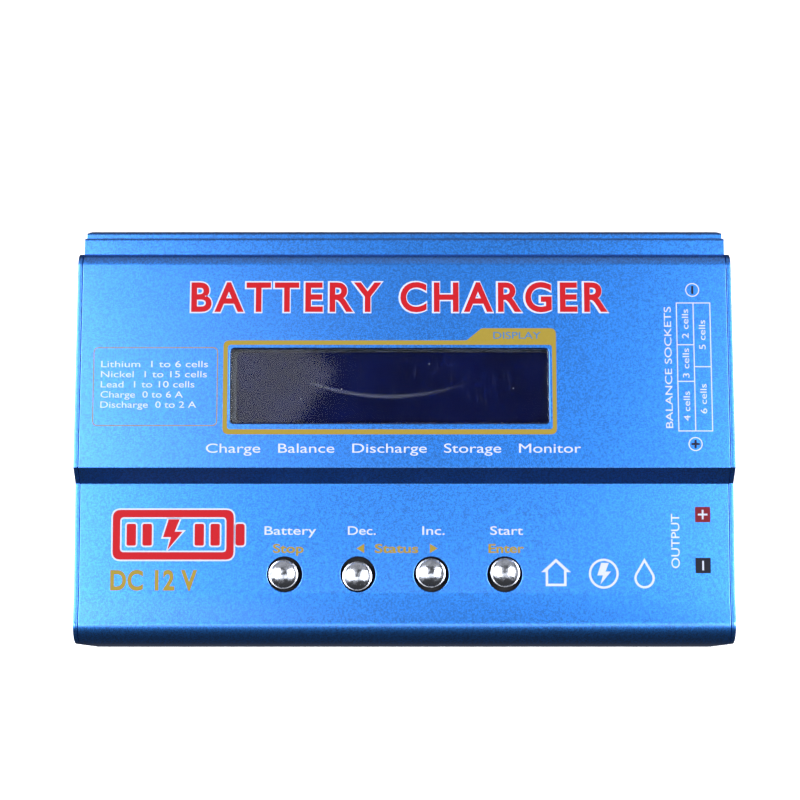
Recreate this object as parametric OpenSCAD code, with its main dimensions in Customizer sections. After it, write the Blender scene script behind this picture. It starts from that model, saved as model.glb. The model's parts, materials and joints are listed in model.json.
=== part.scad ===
// Balance battery charger: two aluminium extrusions closed by two end plates,
// with a display, four sprung buttons and the charging electronics inside.
// Frame: +X towards the output sockets, +Y towards the heat-sink fins, +Z up.
// The origin is on the ground, below the middle of the case.

/* [Case] */
// Width across both end plates
case_w = 133; // [132:1:136]
// Height from the ground to the display face
case_h = 33; // [33:0.5:35]
// Depth from the front wall to the longest fin
case_d = 87; // [86:0.5:90]
// Thickness of the top cover's wall
wall = 1.6; // [1.4:0.1:1.8]
// Thickness of an end plate
plate_t = 0.9; // [0.8:0.1:1.2]
// How far the shell stands beyond the edge of an end plate
plate_inset = 0.15; // [0.1:0.05:0.3]
// Height of the rubber feet
foot_h = 1.5; // [1:0.5:2]
// Diameter of a rubber foot
foot_d = 9; // [6:1:12]

/* [Cover profile] */
// Distance from the middle plane forward to the front edge of the display face
face_front = 8.45; // [7:0.05:9]
// Depth of the sloping step in front of the display face
step_run = 2.85; // [2.5:0.05:4]
// Height of that step
step_drop = 3.13; // [3:0.01:3.5]
// Depth of the keypad face
keypad_run = 22; // [21:0.5:23]
// How much the keypad face falls towards the front
keypad_drop = 1.37; // [1:0.01:1.6]
// How much the narrow face in front of the keypad rises again towards the front
lip_rise = 0.6; // [0:0.1:0.8]
// Radius of the long front edge
front_r = 4.5; // [4:0.1:5]
// Radius of the long rear edge
rear_r = 3; // [2.5:0.1:3.5]

/* [Heat sink] */
// Number of cooling fins along the rear wall
fin_count = 11; // [8:1:11]
// Distance from one fin to the next
fin_pitch = 2.7; // [2.6:0.05:2.75]
// Thickness of a fin
fin_t = 1.2; // [1:0.1:1.4]
// Thickness of the base floor
floor_t = 2; // [1.8:0.1:2.2]
// Thickness of the rear wall that carries the fins
rear_wall_t = 2.5; // [2:0.1:3]

/* [Display] */
// Length of the display opening
window_w = 64.4; // [62:0.2:66]
// Width of the display opening
window_d = 15.4; // [15:0.1:17]
// Sideways place of the display
window_x = -3; // [-5:0.5:0]
// Front-to-back place of the display
window_y = 8.2; // [7:0.1:9]

/* [Buttons] */
// Diameter of a button cap
cap_d = 5.9; // [5:0.1:6.2]
// Diameter of a button hole
hole_d = 7; // [6.8:0.1:7.2]
// Distance from one button to the next
button_pitch = 14.77; // [14:0.01:16]
// Sideways place of the row's middle
button_x = -1.97; // [-4:0.01:0]
// Width of the rim round the dome of a cap
cap_rim = 0.28; // [0.2:0.02:0.4]
// How far the caps sit off the middle of their holes, 1 as built
cap_play = 1; // [0:0.25:1]

/* [Sockets] */
// Bore of an output socket
output_bore_d = 4; // [3.5:0.5:4]
// Distance between the two output sockets
output_gap = 14; // [13:0.5:15]
// Distance between the pins of a balance socket
pin_pitch = 2.5; // [2.5:0.1:2.6]
// Diameter of the centre pin of the power input
dc_pin_d = 2.5; // [2:0.1:2.5]
// Bore of the power input
dc_bore_d = 5.7; // [5.5:0.1:6]

/* [Hidden] */
$fn = 64;
gap = 0.05;

// Anodised shell, green boards and the other finishes
shell_blue = [0.30, 0.60, 0.92];
board_green = [0.05, 0.35, 0.20];
part_black = [0.06, 0.06, 0.07];
tinned = [0.80, 0.80, 0.82];
brass_gold = [0.80, 0.65, 0.30];

// Planes of the case
front_y = -case_d / 2;
fin_tip_y = case_d / 2;
wall_y = fin_tip_y - 7.5;
inner_wall_y = wall_y - rear_wall_t;
ext_half = case_w / 2 - plate_t - 0.1;
plate_inner = case_w / 2 - plate_t;
floor_bottom = foot_h;
floor_top = foot_h + floor_t;
ledge_z = case_h - 1.7;
seam_z = floor_top + 0.1;

// Side profile of the shell as (y, z): the corners between its flat faces
step_y = -face_front - step_run;
step_z = case_h - step_drop;
band_y = step_y - keypad_run;
band_z = step_z - keypad_drop;
lip_z = band_z + lip_rise;
keypad_angle = atan(keypad_drop / keypad_run);
PROFILE = [
    [front_y, floor_bottom], [wall_y, floor_bottom], [wall_y, case_h], [-face_front, case_h],
    [step_y, step_z], [band_y, band_z], [front_y + front_r, lip_z], [front_y, lip_z]
];

// End plate screws, as (y, z)
SCREWS = [
    [inner_wall_y - 3.9, case_h - 4.6], [front_y + 5.9, band_z - 5.9],
    [front_y + 5.9, floor_top + 2.9], [inner_wall_y - 3.9, floor_top + 2.9]
];
boss_r = 2.6;
screw_r = 1;
pilot_r = screw_r + gap;
screw_l = 8;
head_r = 2.1;

// Reach of each fin behind the middle plane, top fin first: they step outwards
FIN_SHORT = [4.4, 2.6, 1.8, 1.1, 0.5, 0.1, 0, 0, 0.2, 0.6, 1.2];

// Display stack, top down
window_floor = case_h - wall - 0.9;
bezel_top = window_floor - 0.1;
bezel_w = 71.2;
bezel_d = 24.2;
bezel_t = 0.4;
bezel_offset = 0.7;
lcd_board_top = bezel_top - 4.1;
lcd_board_t = 1.6;
lcd_board_w = 80;
lcd_board_d = 36;
lcd_board_bottom = lcd_board_top - lcd_board_t;
LCD_HOLES = [for (x = [-37.5, 37.5]) for (y = [-15.5, 15.5]) [window_x + x, window_y + y]];

// Keypad frame: x across, v up the slope, w out of the face; the keys sit key_row in front of the step
key_row = 18.24;
keypad_origin_y = step_y - key_row;
keypad_origin_z = step_z - key_row * tan(keypad_angle);
key_board_top = -7.6;
key_board_t = 1.6;
switch_h = 3.5;
switch_top = key_board_top + switch_h;
KEY_POSTS = [button_x - 30, button_x + 30];

// Main board
board_t = 1.6;
board_top = 16.6;
board_bottom = board_top - board_t;
board_half = ext_half - 0.7;
BOARD_HOLES = [[-59, -31], [-59, 22], [34, -31], [50, 22]];
notch_x = 45;

// Balance sockets: cells, row (1 above the board, 0 below it), y of the rear end
shroud_h = 5.75;
shroud_wall = 0.75;
shroud_mouth = case_w / 2 - 0.1;
shroud_back = shroud_mouth - 9.8;
cavity_floor = shroud_back + 1.8;
pin_end = shroud_mouth - 4.3;
row_rear = inner_wall_y - 2.9;
function shroud_w(cells) = cells * pin_pitch + 4.9;
function shroud_z(row) = row == 1 ? board_top + gap : board_bottom - gap - shroud_h;
SOCKETS = [
    [2, 1, row_rear], [3, 1, row_rear - shroud_w(2) - 0.2],
    [4, 1, row_rear - shroud_w(2) - shroud_w(3) - 0.4],
    [5, 0, row_rear], [6, 0, row_rear - shroud_w(5) - 0.2]
];
row_front = row_rear - shroud_w(5) - shroud_w(6) - 0.4;

// Output sockets
output_y = -22.7;
output_z = 14;
OUTPUTS = [output_y + output_gap / 2, output_y - output_gap / 2];
contact_r = output_bore_d / 2 + 0.5;
output_r = 4.4;

// Power input and temperature port on the left
dc_y = 12;
dc_z = board_top + gap + 5.6;
dc_mouth = -case_w / 2 + 0.1;
dc_depth = 9.6;
temp_y = -20;
temp_w = 9.6;
temp_h = 4.8;
temp_z = board_top + gap;

// Power transistors on the floor
TRANSISTORS = [-38, -24, -10, 10, 24, 38];
CLAMP_SCREWS = [-47, 0, 47];
clamp_y = 14;
pad_t = 0.3;
body_t = 4.4;
clamp_z = floor_top + pad_t + body_t + gap;

// Toroid
toroid_x = 26;
toroid_y = -14;
toroid_z = (floor_top + board_bottom) / 2;
turns = 16;

// ---- Shared shapes -------------------------------------------------------

// Extrudes a side profile, drawn as (y, z), between two x planes
module along_x(x0, x1) {
    translate([x0, 0, 0]) rotate([90, 0, 90]) linear_extrude(x1 - x0) children();
}

// A cylinder along x
module rod_x(r, x0, x1, y, z) {
    translate([x0, y, z]) rotate([0, 90, 0]) cylinder(r = r, h = x1 - x0);
}

// A box from its low corner and its size
module box(low, size) {
    translate(low) cube(size);
}

// A flat rectangle with round corners, centred
module round_rect(w, d, r) {
    square([w - 2 * r, d], center = true);
    square([w, d - 2 * r], center = true);
    for (x = [-1, 1]) for (y = [-1, 1])
        translate([x * (w / 2 - r), y * (d / 2 - r)]) circle(r = r);
}

// Moves a corner of a closed outline inwards by t, along both of its edges
function unit(v) = v / norm(v);
function normal(a, b) = let (u = unit(b - a)) [-u[1], u[0]];
function inset_corner(a, b, c, t) =
    let (m = normal(a, b), n = normal(b, c)) b + t * (m + n) / (1 + m * n);
function inset_outline(p, t) =
    [for (i = [0:len(p) - 1])
        inset_corner(p[(i + len(p) - 1) % len(p)], p[i], p[(i + 1) % len(p)], t)];

// Cuts away what lies outside a quarter circle of radius r about a centre; side is -1 or 1 along y
module corner_cut(centre, r, side) translate(centre) difference() {
    translate([side < 0 ? -r - 1 : 0, 0]) square(r + 1);
    circle(r = r);
}

// The closed side profile of the shell, moved inwards by t
module shell_outline(t) difference() {
    polygon(inset_outline(PROFILE, t));
    corner_cut([front_y + front_r, lip_z - front_r], front_r - t, -1);
    corner_cut([wall_y - rear_r, case_h - rear_r], rear_r - t, 1);
}

// Places a child in the keypad frame
module on_keypad(x = 0) {
    translate([x, keypad_origin_y, keypad_origin_z]) rotate([keypad_angle, 0, 0]) children();
}

function button_at(i) = button_x + (i - 1.5) * button_pitch;

// Where each key really sits in its hole, left key first
KEY_SHIFT = [[-0.25, 0], [-0.15, -0.35], [-0.1, 0.25], [0.1, 0.35]];
module at_key(i) on_keypad(button_at(i)) translate([KEY_SHIFT[i][0], KEY_SHIFT[i][1], 0] * cap_play) children();

// A pan-head screw pointing down, its head's underside at z = 0
module pan_screw(r, head, head_h, l) {
    difference() {
        cylinder(r = head, h = head_h);
        translate([0, 0, head_h - 0.6]) {
            cube([head * 1.2, 0.5, 2], center = true);
            cube([0.5, head * 1.2, 2], center = true);
        }
    }
    translate([0, 0, -l]) cylinder(r = r, h = l + 0.01);
}

// ---- Shell ---------------------------------------------------------------

module top_cover() color(shell_blue) difference() {
    along_x(-ext_half, ext_half) difference() {
        union() {
            difference() {
                shell_outline(0);
                shell_outline(wall);
                translate([front_y - 1, 0]) square([case_d, seam_z]);
                square([case_d, ledge_z + gap]);
            }
            // tongue behind the rear edge, inside the base's rear wall
            translate([inner_wall_y - 2, ledge_z - 3.5]) square([1.3, 4.5]);
            translate(SCREWS[0]) circle(r = boss_r);
            translate([SCREWS[0][0] - 1.6, SCREWS[0][1]]) square([3.2, case_h - 1 - SCREWS[0][1]]);
            translate(SCREWS[1]) circle(r = boss_r);
            translate([front_y + 1, SCREWS[1][1] - 1.2]) square([SCREWS[1][0] - front_y - 1, 2.4]);
        }
        translate(SCREWS[0]) circle(r = pilot_r);
        translate(SCREWS[1]) circle(r = pilot_r);
    }
    translate([window_x, window_y, case_h - wall - 1])
        linear_extrude(wall + 2) round_rect(window_w, window_d, 0.8);
    for (i = [0:3])
        on_keypad(button_at(i)) translate([0, 0, -wall - 1]) cylinder(d = hole_d, h = wall + 2);
}

// One fin of the heat sink with a round edge, its top at height z
module fin(reach, z) {
    translate([wall_y - 0.5, z - fin_t]) square([reach - fin_t / 2 - wall_y + 0.5, fin_t]);
    translate([reach - fin_t / 2, z - fin_t / 2]) circle(r = fin_t / 2);
}

module base_tray() color(shell_blue) difference() {
    along_x(-ext_half, ext_half) difference() {
        union() {
            translate([front_y + 1, floor_bottom]) square([wall_y - front_y - 1, floor_t]);
            translate([front_y, floor_bottom + 1]) square([2, floor_t - 1]);
            translate([front_y + 1, floor_bottom + 1]) circle(r = 1);
            // front tongue, inside the cover's front wall
            translate([front_y + wall + 0.1, floor_bottom + 1]) square([1.4, floor_t + 3]);
            translate([inner_wall_y, floor_bottom]) square([rear_wall_t, ledge_z - floor_bottom]);
            for (i = [0:fin_count - 1]) fin(fin_tip_y - FIN_SHORT[i], ledge_z - i * fin_pitch);
            for (k = [2, 3]) {
                translate(SCREWS[k]) circle(r = boss_r);
                translate([SCREWS[k][0] - 1.6, floor_top - 0.5]) square([3.2, 3.4]);
            }
        }
        for (k = [2, 3]) translate(SCREWS[k]) circle(r = pilot_r);
    }
    // threaded holes that take the clamp screws
    for (x = CLAMP_SCREWS) translate([x, clamp_y, floor_bottom + 0.5]) cylinder(r = pilot_r, h = 4);
    for (h = BOARD_HOLES) translate([h[0], h[1], floor_bottom + 0.4]) cylinder(r = 1.25, h = 4);
}

// An end plate's outline with its four countersunk screw holes
module end_plate(side) {
    difference() {
        along_x(min(side * plate_inner, side * case_w / 2), max(side * plate_inner, side * case_w / 2))
            shell_outline(plate_inset);
        for (s = SCREWS) {
            rod_x(screw_r + 0.3, -case_w, case_w, s[0], s[1]);
            translate([side * case_w / 2, s[0], s[1]]) rotate([0, -side * 90, 0])
                translate([0, 0, -1]) cylinder(r1 = head_r + 1.05, r2 = screw_r + 0.3, h = 1.85);
        }
    }
}

module left_end_plate() color(shell_blue) difference() {
    end_plate(-1);
    rod_x(4.3, -case_w, 0, dc_y, dc_z);
    box([-case_w, temp_y - temp_w / 2 - 0.2, temp_z - 0.2], [case_w, temp_w + 0.4, temp_h + 0.4]);
}

module right_end_plate() color(shell_blue) difference() {
    end_plate(1);
    for (row = [0, 1]) box([0, row_front - 0.1, shroud_z(row) - 0.2],
        [case_w, row_rear - row_front + 0.4, shroud_h + 0.4]);
    for (y = OUTPUTS) rod_x(output_r + 0.1, 0, case_w, y, output_z);
}

module end_plate_screws() color(part_black)
    for (side = [-1, 1]) for (s = SCREWS)
        translate([side * case_w / 2, s[0], s[1]]) rotate([0, -side * 90, 0]) difference() {
            union() {
                translate([0, 0, 0.03]) cylinder(r1 = head_r - 0.03, r2 = screw_r + 0.22, h = 0.8);
                cylinder(r = screw_r, h = screw_l);
            }
            translate([0, 0, 0.1]) cube([0.5, 2.2, 0.6], center = true);
            translate([0, 0, 0.1]) cube([2.2, 0.5, 0.6], center = true);
        }

module feet() color(part_black)
    for (x = [-1, 1]) for (y = [front_y + 9, wall_y - 8.5])
        translate([x * (case_w / 2 - 10), y, 0]) {
            cylinder(r1 = foot_d / 2 - 0.5, r2 = foot_d / 2, h = foot_h - 0.4);
            translate([0, 0, foot_h - 0.4]) cylinder(d = foot_d, h = 0.4);
        }

// ---- Display -------------------------------------------------------------

module display_window() color([0.75, 0.85, 0.95, 0.4]) translate([window_x, window_y, 0]) {
    translate([0, 0, case_h - wall - 0.2]) linear_extrude(wall - 0.05)
        round_rect(window_w - 0.3, window_d - 0.3, 0.7);
    translate([0, 0, window_floor]) linear_extrude(0.9 - gap) round_rect(window_w + 4, window_d + 4, 1);
}

module lcd_bezel() color(part_black) translate([window_x, window_y, 0]) difference() {
    translate([0, 0, lcd_board_top]) linear_extrude(bezel_top - lcd_board_top)
        round_rect(bezel_w, bezel_d, 1);
    translate([0, 0, lcd_board_top - 1]) linear_extrude(bezel_top - bezel_t - lcd_board_top + 1)
        round_rect(bezel_w - 2 * bezel_t, bezel_d - 2 * bezel_t, 0.4);
    translate([bezel_offset, 0, lcd_board_top]) linear_extrude(10)
        round_rect(window_w - 0.9, window_d - 1, 1.2);
}

module lcd_glass() color([0.06, 0.10, 0.45]) translate([window_x, window_y, bezel_top - bezel_t - 1.8])
    linear_extrude(1.7) square([bezel_w - 1.2, bezel_d - 1.2], center = true);

module lcd_backlight() color([0.85, 0.90, 1.0])
    translate([window_x, window_y, lcd_board_top + gap])
        linear_extrude(bezel_top - bezel_t - 1.8 - 2 * gap - lcd_board_top)
            square([bezel_w - 1.4, bezel_d - 1.4], center = true);

module lcd_board() color(board_green) difference() {
    translate([window_x, window_y, lcd_board_bottom]) linear_extrude(lcd_board_t)
        square([lcd_board_w, lcd_board_d], center = true);
    for (h = LCD_HOLES) translate([h[0], h[1], 0]) cylinder(r = 1.3, h = case_h);
}

header_y = window_y + lcd_board_d / 2 - 2.4;
key_header_v = 6.5;
function key_header_y() = keypad_origin_y + key_header_v * cos(keypad_angle);

module board_headers() color(part_black) {
    box([window_x - 20.3, header_y - 1.25, board_top + gap],
        [40.6, 2.5, lcd_board_bottom - board_top - 2 * gap]);
    box([button_x - 8.9, key_header_y() - 1.25, board_top + gap], [17.8, 2.5, 2.9]);
}

module solder_pins() color(tinned) {
    for (i = [0:15]) for (z = [board_bottom - 1.2 - gap, lcd_board_top + gap])
        box([window_x - 19.05 + 2.54 * i - 0.32, header_y - 0.32, z], [0.64, 0.64, 1.2]);
    for (i = [0:6])
        box([button_x - 7.62 + 2.54 * i - 0.32, key_header_y() - 0.32, board_bottom - 1.25],
            [0.64, 0.64, 1.2]);
}

module lcd_standoffs() color([0.92, 0.92, 0.9]) for (h = LCD_HOLES) difference() {
    translate([h[0], h[1], board_top + gap]) cylinder(r = 2.6, h = lcd_board_bottom - board_top - 2 * gap);
    translate([h[0], h[1], board_top + 1]) cylinder(r = 1.3, h = 20);
}

module module_screws() color(tinned) {
    for (h = LCD_HOLES) translate([h[0], h[1], lcd_board_top + gap]) pan_screw(1.2, 2.2, 1.4, 6);
    for (x = KEY_POSTS) on_keypad(x)
        translate([0, 0, key_board_top - key_board_t - gap]) mirror([0, 0, 1]) pan_screw(1.2, 2.2, 1.4, 5);
}

// ---- Keypad --------------------------------------------------------------

module keypad_board() color(board_green) on_keypad() difference() {
    box([button_x - 33, -4.6, key_board_top - key_board_t], [66, 13.6, key_board_t]);
    for (x = KEY_POSTS) translate([x, 0, -20]) cylinder(r = 1.3, h = 30);
}

module keypad_standoffs() color(brass_gold) for (x = KEY_POSTS) on_keypad(x) difference() {
    translate([0, 0, key_board_top + gap]) cylinder(r = 2.5, h = -key_board_top - wall - 2 * gap);
    translate([0, 0, -20]) cylinder(r = 1.25, h = 16);
}

module switch_bodies() color(part_black) for (i = [0:3]) at_key(i) difference() {
    box([-3, -3, key_board_top + gap], [6, 6, switch_h - gap]);
    translate([0, 0, switch_top - 1.2]) cylinder(r = 1.95, h = 3);
}

// A domed metal cap on a thin rim, with a flange that keeps it behind the cover
module button_cap(i) {
    dome_d = cap_d - 2 * cap_rim;
    dome_rise = 0.75;
    dome_base = 0.5;
    dome_r = (dome_d * dome_d / 4 + dome_rise * dome_rise) / (2 * dome_rise);
    color(tinned) at_key(i) difference() {
        union() {
            intersection() {
                translate([0, 0, -1]) cylinder(d = dome_d, h = 4);
                translate([0, 0, dome_base + dome_rise - dome_r]) sphere(r = dome_r);
            }
            translate([0, 0, -3.3]) cylinder(d = cap_d, h = 3.35);
            translate([0, 0, -2.9]) cylinder(r = hole_d / 2 + 0.6, h = 0.7);
        }
        translate([0, 0, -4]) cylinder(r = 1.8, h = 2.6);
    }
}

module button_plunger(i) color([0.85, 0.85, 0.8]) at_key(i)
    translate([0, 0, switch_top - 0.6]) cylinder(r = 1.75, h = -1.45 - switch_top + 0.6);

module button_cap_stop() button_cap(0);
module button_cap_dec() button_cap(1);
module button_cap_inc() button_cap(2);
module button_cap_start() button_cap(3);
module plunger_stop() button_plunger(0);
module plunger_dec() button_plunger(1);
module plunger_inc() button_plunger(2);
module plunger_start() button_plunger(3);

// ---- Main board ----------------------------------------------------------

module main_board() color(board_green) difference() {
    box([-board_half, front_y + wall + 1, board_bottom],
        [2 * board_half, inner_wall_y - 0.8 - front_y - wall - 1, board_t]);
    // corner left free for the output sockets
    box([notch_x, output_y - 13, board_bottom - 1], [20, 26, board_t + 2]);
    for (h = BOARD_HOLES) translate([h[0], h[1], 0]) cylinder(r = 1.6, h = case_h);
}

module board_standoffs() color(brass_gold) for (h = BOARD_HOLES) difference() {
    translate([h[0], h[1], floor_top + gap]) cylinder(r = 2.9, h = board_bottom - floor_top - 2 * gap, $fn = 6);
    translate([h[0], h[1], board_bottom - 7]) cylinder(r = 1.55, h = 10);
}

module board_screws() color(tinned) for (h = BOARD_HOLES)
    translate([h[0], h[1], board_top + gap]) pan_screw(1.45, 2.75, 1.8, 7);

// Package bodies on the board: centre x and y, then length, width and height
CHIPS = [
    [8, 2, 5, 6.2, 1.5], [-18, 12, 10, 5, 1.8], [-34, -2, 5, 4, 1.5], [30, 8, 5, 4, 1.5],
    [40, -2, 8.7, 4, 1.5], [-48, -2, 5, 4, 1.5]
];
mcu_x = -6;
mcu_y = -8;
mcu_w = 10;

module microcontroller() color(part_black)
    box([mcu_x - mcu_w / 2, mcu_y - mcu_w / 2, board_top + 0.1], [mcu_w, mcu_w, 1.1]);

module small_chips() color(part_black)
    for (c = CHIPS) box([c[0] - c[2] / 2, c[1] - c[3] / 2, board_top + 0.1], [c[2], c[3], c[4]]);

module chip_leads() color(tinned) {
    for (i = [0:10]) for (s = [-1, 1]) {
        translate([mcu_x - 4 + 0.8 * i, mcu_y + s * (mcu_w / 2 + 0.55), board_top + 0.3])
            cube([0.35, 1, 0.4], center = true);
        translate([mcu_x + s * (mcu_w / 2 + 0.55), mcu_y - 4 + 0.8 * i, board_top + 0.3])
            cube([1, 0.35, 0.4], center = true);
    }
    for (c = CHIPS) for (s = [-1, 1]) for (x = [-c[2] / 2 + 0.6 : 1.27 : c[2] / 2 - 0.5])
        translate([c[0] + x, c[1] + s * (c[3] / 2 + 0.55), board_top + 0.3])
            cube([0.4, 1, 0.4], center = true);
}

module toroid_core() color([0.75, 0.70, 0.25]) translate([toroid_x, toroid_y, toroid_z])
    rotate_extrude() translate([7, 0]) square([4, 5.6], center = true);

module toroid_winding() color([0.72, 0.36, 0.15]) translate([toroid_x, toroid_y, toroid_z])
    for (i = [0:turns - 1]) rotate([0, 0, i * 360 / turns]) translate([7, 0, 0]) rotate([90, 0, 0])
        rotate_extrude($fn = 32) translate([4.1, 0]) circle(r = 0.5, $fn = 24);

CAPACITORS = [[-52, 4], [-52, -10], [-30, -14], [6, -18]];
can_r = 4;
can_bottom = floor_top + 0.8;
module capacitor_cans() color(tinned) for (c = CAPACITORS)
    translate([c[0], c[1], can_bottom]) cylinder(r = can_r, h = board_bottom - gap - can_bottom);

module capacitor_sleeves() color([0.08, 0.10, 0.25]) for (c = CAPACITORS)
    translate([c[0], c[1], can_bottom + 0.1]) difference() {
        cylinder(r = can_r + 0.25, h = board_bottom - gap - can_bottom - 0.1);
        translate([0, 0, -1]) cylinder(r = can_r + gap, h = 20);
    }

// ---- Power stage on the floor --------------------------------------------

module transistor_bodies() color(part_black) for (x = TRANSISTORS)
    box([x - 5, 9, floor_top + pad_t + 1.35], [10, 9, body_t - 1.35]);

module transistor_tabs() color(tinned) for (x = TRANSISTORS) {
    difference() {
        box([x - 5, 9, floor_top + pad_t + gap], [10, 15.4, 1.25]);
        translate([x, 21.4, 0]) cylinder(r = 1.8, h = 20);
    }
    // legs leave the body, then stand up to the board
    for (k = [-2.54, 0, 2.54]) {
        box([x + k - 0.4, 5.2, floor_top + 2.6], [0.8, 3.75, 0.5]);
        box([x + k - 0.4, 4.7, floor_top + 2.6], [0.8, 0.5, board_bottom - gap - floor_top - 2.6]);
    }
}

module transistor_pads() color([0.55, 0.60, 0.65]) for (x = TRANSISTORS)
    box([x - 6, 8, floor_top + 0.01], [12, 17, pad_t]);

module transistor_clamp() color(tinned) difference() {
    union() {
        box([CLAMP_SCREWS[0] - 3, clamp_y - 2.5, clamp_z], [CLAMP_SCREWS[2] - CLAMP_SCREWS[0] + 6, 5, 2]);
        for (x = CLAMP_SCREWS) box([x - 1.9, clamp_y - 2.5, floor_top + gap],
            [3.8, 4.9, clamp_z - floor_top]);
    }
    for (x = CLAMP_SCREWS) translate([x, clamp_y, 0]) cylinder(r = 1.3, h = 20);
}

module clamp_screws() color(tinned) for (x = CLAMP_SCREWS)
    translate([x, clamp_y, clamp_z + 2 + gap]) pan_screw(screw_r, 1.9, 1.4, clamp_z + 2 - floor_top + 1);

// ---- Other parts on the board --------------------------------------------

module shunt_resistors() color([0.9, 0.88, 0.82])
    for (y = [-40.2, -37.2]) box([2, y, board_top + gap], [12, 2.6, 3]);

module buzzer() color(part_black) translate([-46, -22, board_top + gap]) difference() {
    cylinder(r = 6, h = 8.5);
    translate([0, 0, 6.5]) cylinder(r = 1.2, h = 5);
}

module crystal() color(tinned) translate([-22, -12, board_top + gap])
    linear_extrude(3.5) round_rect(11, 4.6, 2.2);

module fuse() color([0.85, 0.45, 0.1]) {
    box([-57, -8, board_top + gap], [5.2, 12, 4]);
    box([-56.2, -6.6, board_top + 4.1], [3.6, 9.2, 4]);
}

// ---- Sockets -------------------------------------------------------------

module dc_jack_body() color(part_black) difference() {
    union() {
        rod_x(4.1, dc_mouth, dc_mouth + 5, dc_y, dc_z);
        box([dc_mouth + 4.3, dc_y - 4.6, board_top + gap], [9.6, 9.2, 11]);
    }
    rod_x(dc_bore_d / 2, dc_mouth - 1, dc_mouth + dc_depth, dc_y, dc_z);
    // slot that holds the spring contact
    box([dc_mouth + 5, dc_y - 1, dc_z - dc_bore_d / 2 - 0.9], [dc_depth - 5, 2, 2]);
}

module dc_jack_pin() color(tinned) {
    rod_x(dc_pin_d / 2, dc_mouth + 1, dc_mouth + dc_depth, dc_y, dc_z);
    box([dc_mouth + 14, dc_y - 1.2, board_top + gap], [0.6, 2.4, 7]);
}

module dc_jack_spring() color(brass_gold)
    box([dc_mouth + 5.1, dc_y - 0.9, dc_z - dc_bore_d / 2 - 0.3], [dc_depth - 5.2, 1.8, 0.4]);

module temperature_port() color(part_black) difference() {
    box([dc_mouth, temp_y - temp_w / 2, temp_z], [9, temp_w, temp_h]);
    box([dc_mouth - 1, temp_y - temp_w / 2 + 0.9, temp_z + 0.8], [8, temp_w - 1.8, temp_h - 1.6]);
}

// A shrouded header with two keying slots in its outer wall
module balance_socket(k) {
    s = SOCKETS[k];
    w = shroud_w(s[0]);
    z = shroud_z(s[1]);
    slot_z = s[1] == 1 ? z + shroud_h - shroud_wall - 0.5 : z - 0.5;
    color([0.93, 0.92, 0.86]) difference() {
        box([shroud_back, s[2] - w, z], [shroud_mouth - shroud_back, w, shroud_h]);
        box([cavity_floor, s[2] - w + shroud_wall, z + shroud_wall],
            [20, w - 2 * shroud_wall, shroud_h - 2 * shroud_wall]);
        for (y = [s[2] - w + 2, s[2] - 3.2]) box([cavity_floor + 1.5, y, slot_z],
            [20, 1.2, shroud_wall + 1]);
    }
}

module balance_socket_2s() balance_socket(0);
module balance_socket_3s() balance_socket(1);
module balance_socket_4s() balance_socket(2);
module balance_socket_5s() balance_socket(3);
module balance_socket_6s() balance_socket(4);

module socket_pins() color(tinned) {
    for (s = SOCKETS) for (i = [0:s[0]]) {
        y = s[2] - shroud_w(s[0]) / 2 + (i - s[0] / 2) * pin_pitch;
        z = shroud_z(s[1]) + shroud_h / 2;
        foot = s[1] == 1 ? board_top + gap : board_bottom - gap;
        box([cavity_floor + 0.01, y - 0.32, z - 0.32], [pin_end - cavity_floor, 0.64, 0.64]);
        box([shroud_back - 2, y - 0.32, z - 0.32], [1.98, 0.64, 0.64]);
        box([shroud_back - 2, y - 0.32, min(z, foot)], [0.64, 0.64, abs(z - foot)]);
    }
    for (k = [-2.54, 0, 2.54]) {
        z = temp_z + temp_h / 2;
        box([dc_mouth + 1.5, temp_y + k - 0.32, z - 0.32], [5.49, 0.64, 0.64]);
        box([dc_mouth + 9.02, temp_y + k - 0.32, z - 0.32], [1.6, 0.64, 0.64]);
        box([dc_mouth + 10, temp_y + k - 0.32, temp_z], [0.64, 0.64, temp_h / 2]);
    }
}

// Insulating body of an output socket
module output_socket(y) difference() {
    union() {
        rod_x(output_r, case_w / 2 - 16.5, case_w / 2 - 0.1, y, output_z);
        rod_x(output_r + 1.1, plate_inner - 1.1, plate_inner - gap, y, output_z);
    }
    rod_x(contact_r + gap, case_w / 2 - 20, case_w / 2 - 1.2, y, output_z);
    rod_x(contact_r - 0.15, case_w / 2 - 2, case_w / 2 + 1, y, output_z);
}

module output_socket_positive() color([0.8, 0.08, 0.1]) output_socket(OUTPUTS[0]);
module output_socket_negative() color(part_black) output_socket(OUTPUTS[1]);

contact_back = case_w / 2 - 15.5;
module output_contacts() color(brass_gold) for (y = OUTPUTS) difference() {
    union() {
        rod_x(contact_r, contact_back, case_w / 2 - 1.25, y, output_z);
        rod_x(1.2, contact_back - 5, contact_back + 0.5, y, output_z);
    }
    rod_x(output_bore_d / 2, contact_back + 1.5, case_w, y, output_z);
}

module output_nuts() color(tinned) for (y = OUTPUTS) difference() {
    translate([plate_inner - 4.2, y, output_z]) rotate([0, 90, 0]) cylinder(r = 6, h = 2.8, $fn = 6);
    rod_x(output_r + gap, 0, case_w, y, output_z);
}

// A strip from the tail of each output contact, over the edge of the board and down onto it
module output_busbars() color([0.80, 0.45, 0.25]) for (y = OUTPUTS) {
    difference() {
        box([contact_back - 4.4, y - 2.2, output_z - 2.2], [0.8, 4.4, board_top + 2.8 - output_z]);
        rod_x(1.25, 0, case_w, y, output_z);
    }
    box([notch_x - 4.5, y - 2.2, board_top + gap], [contact_back - notch_x + 0.09, 4.4, 0.55]);
}

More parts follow.
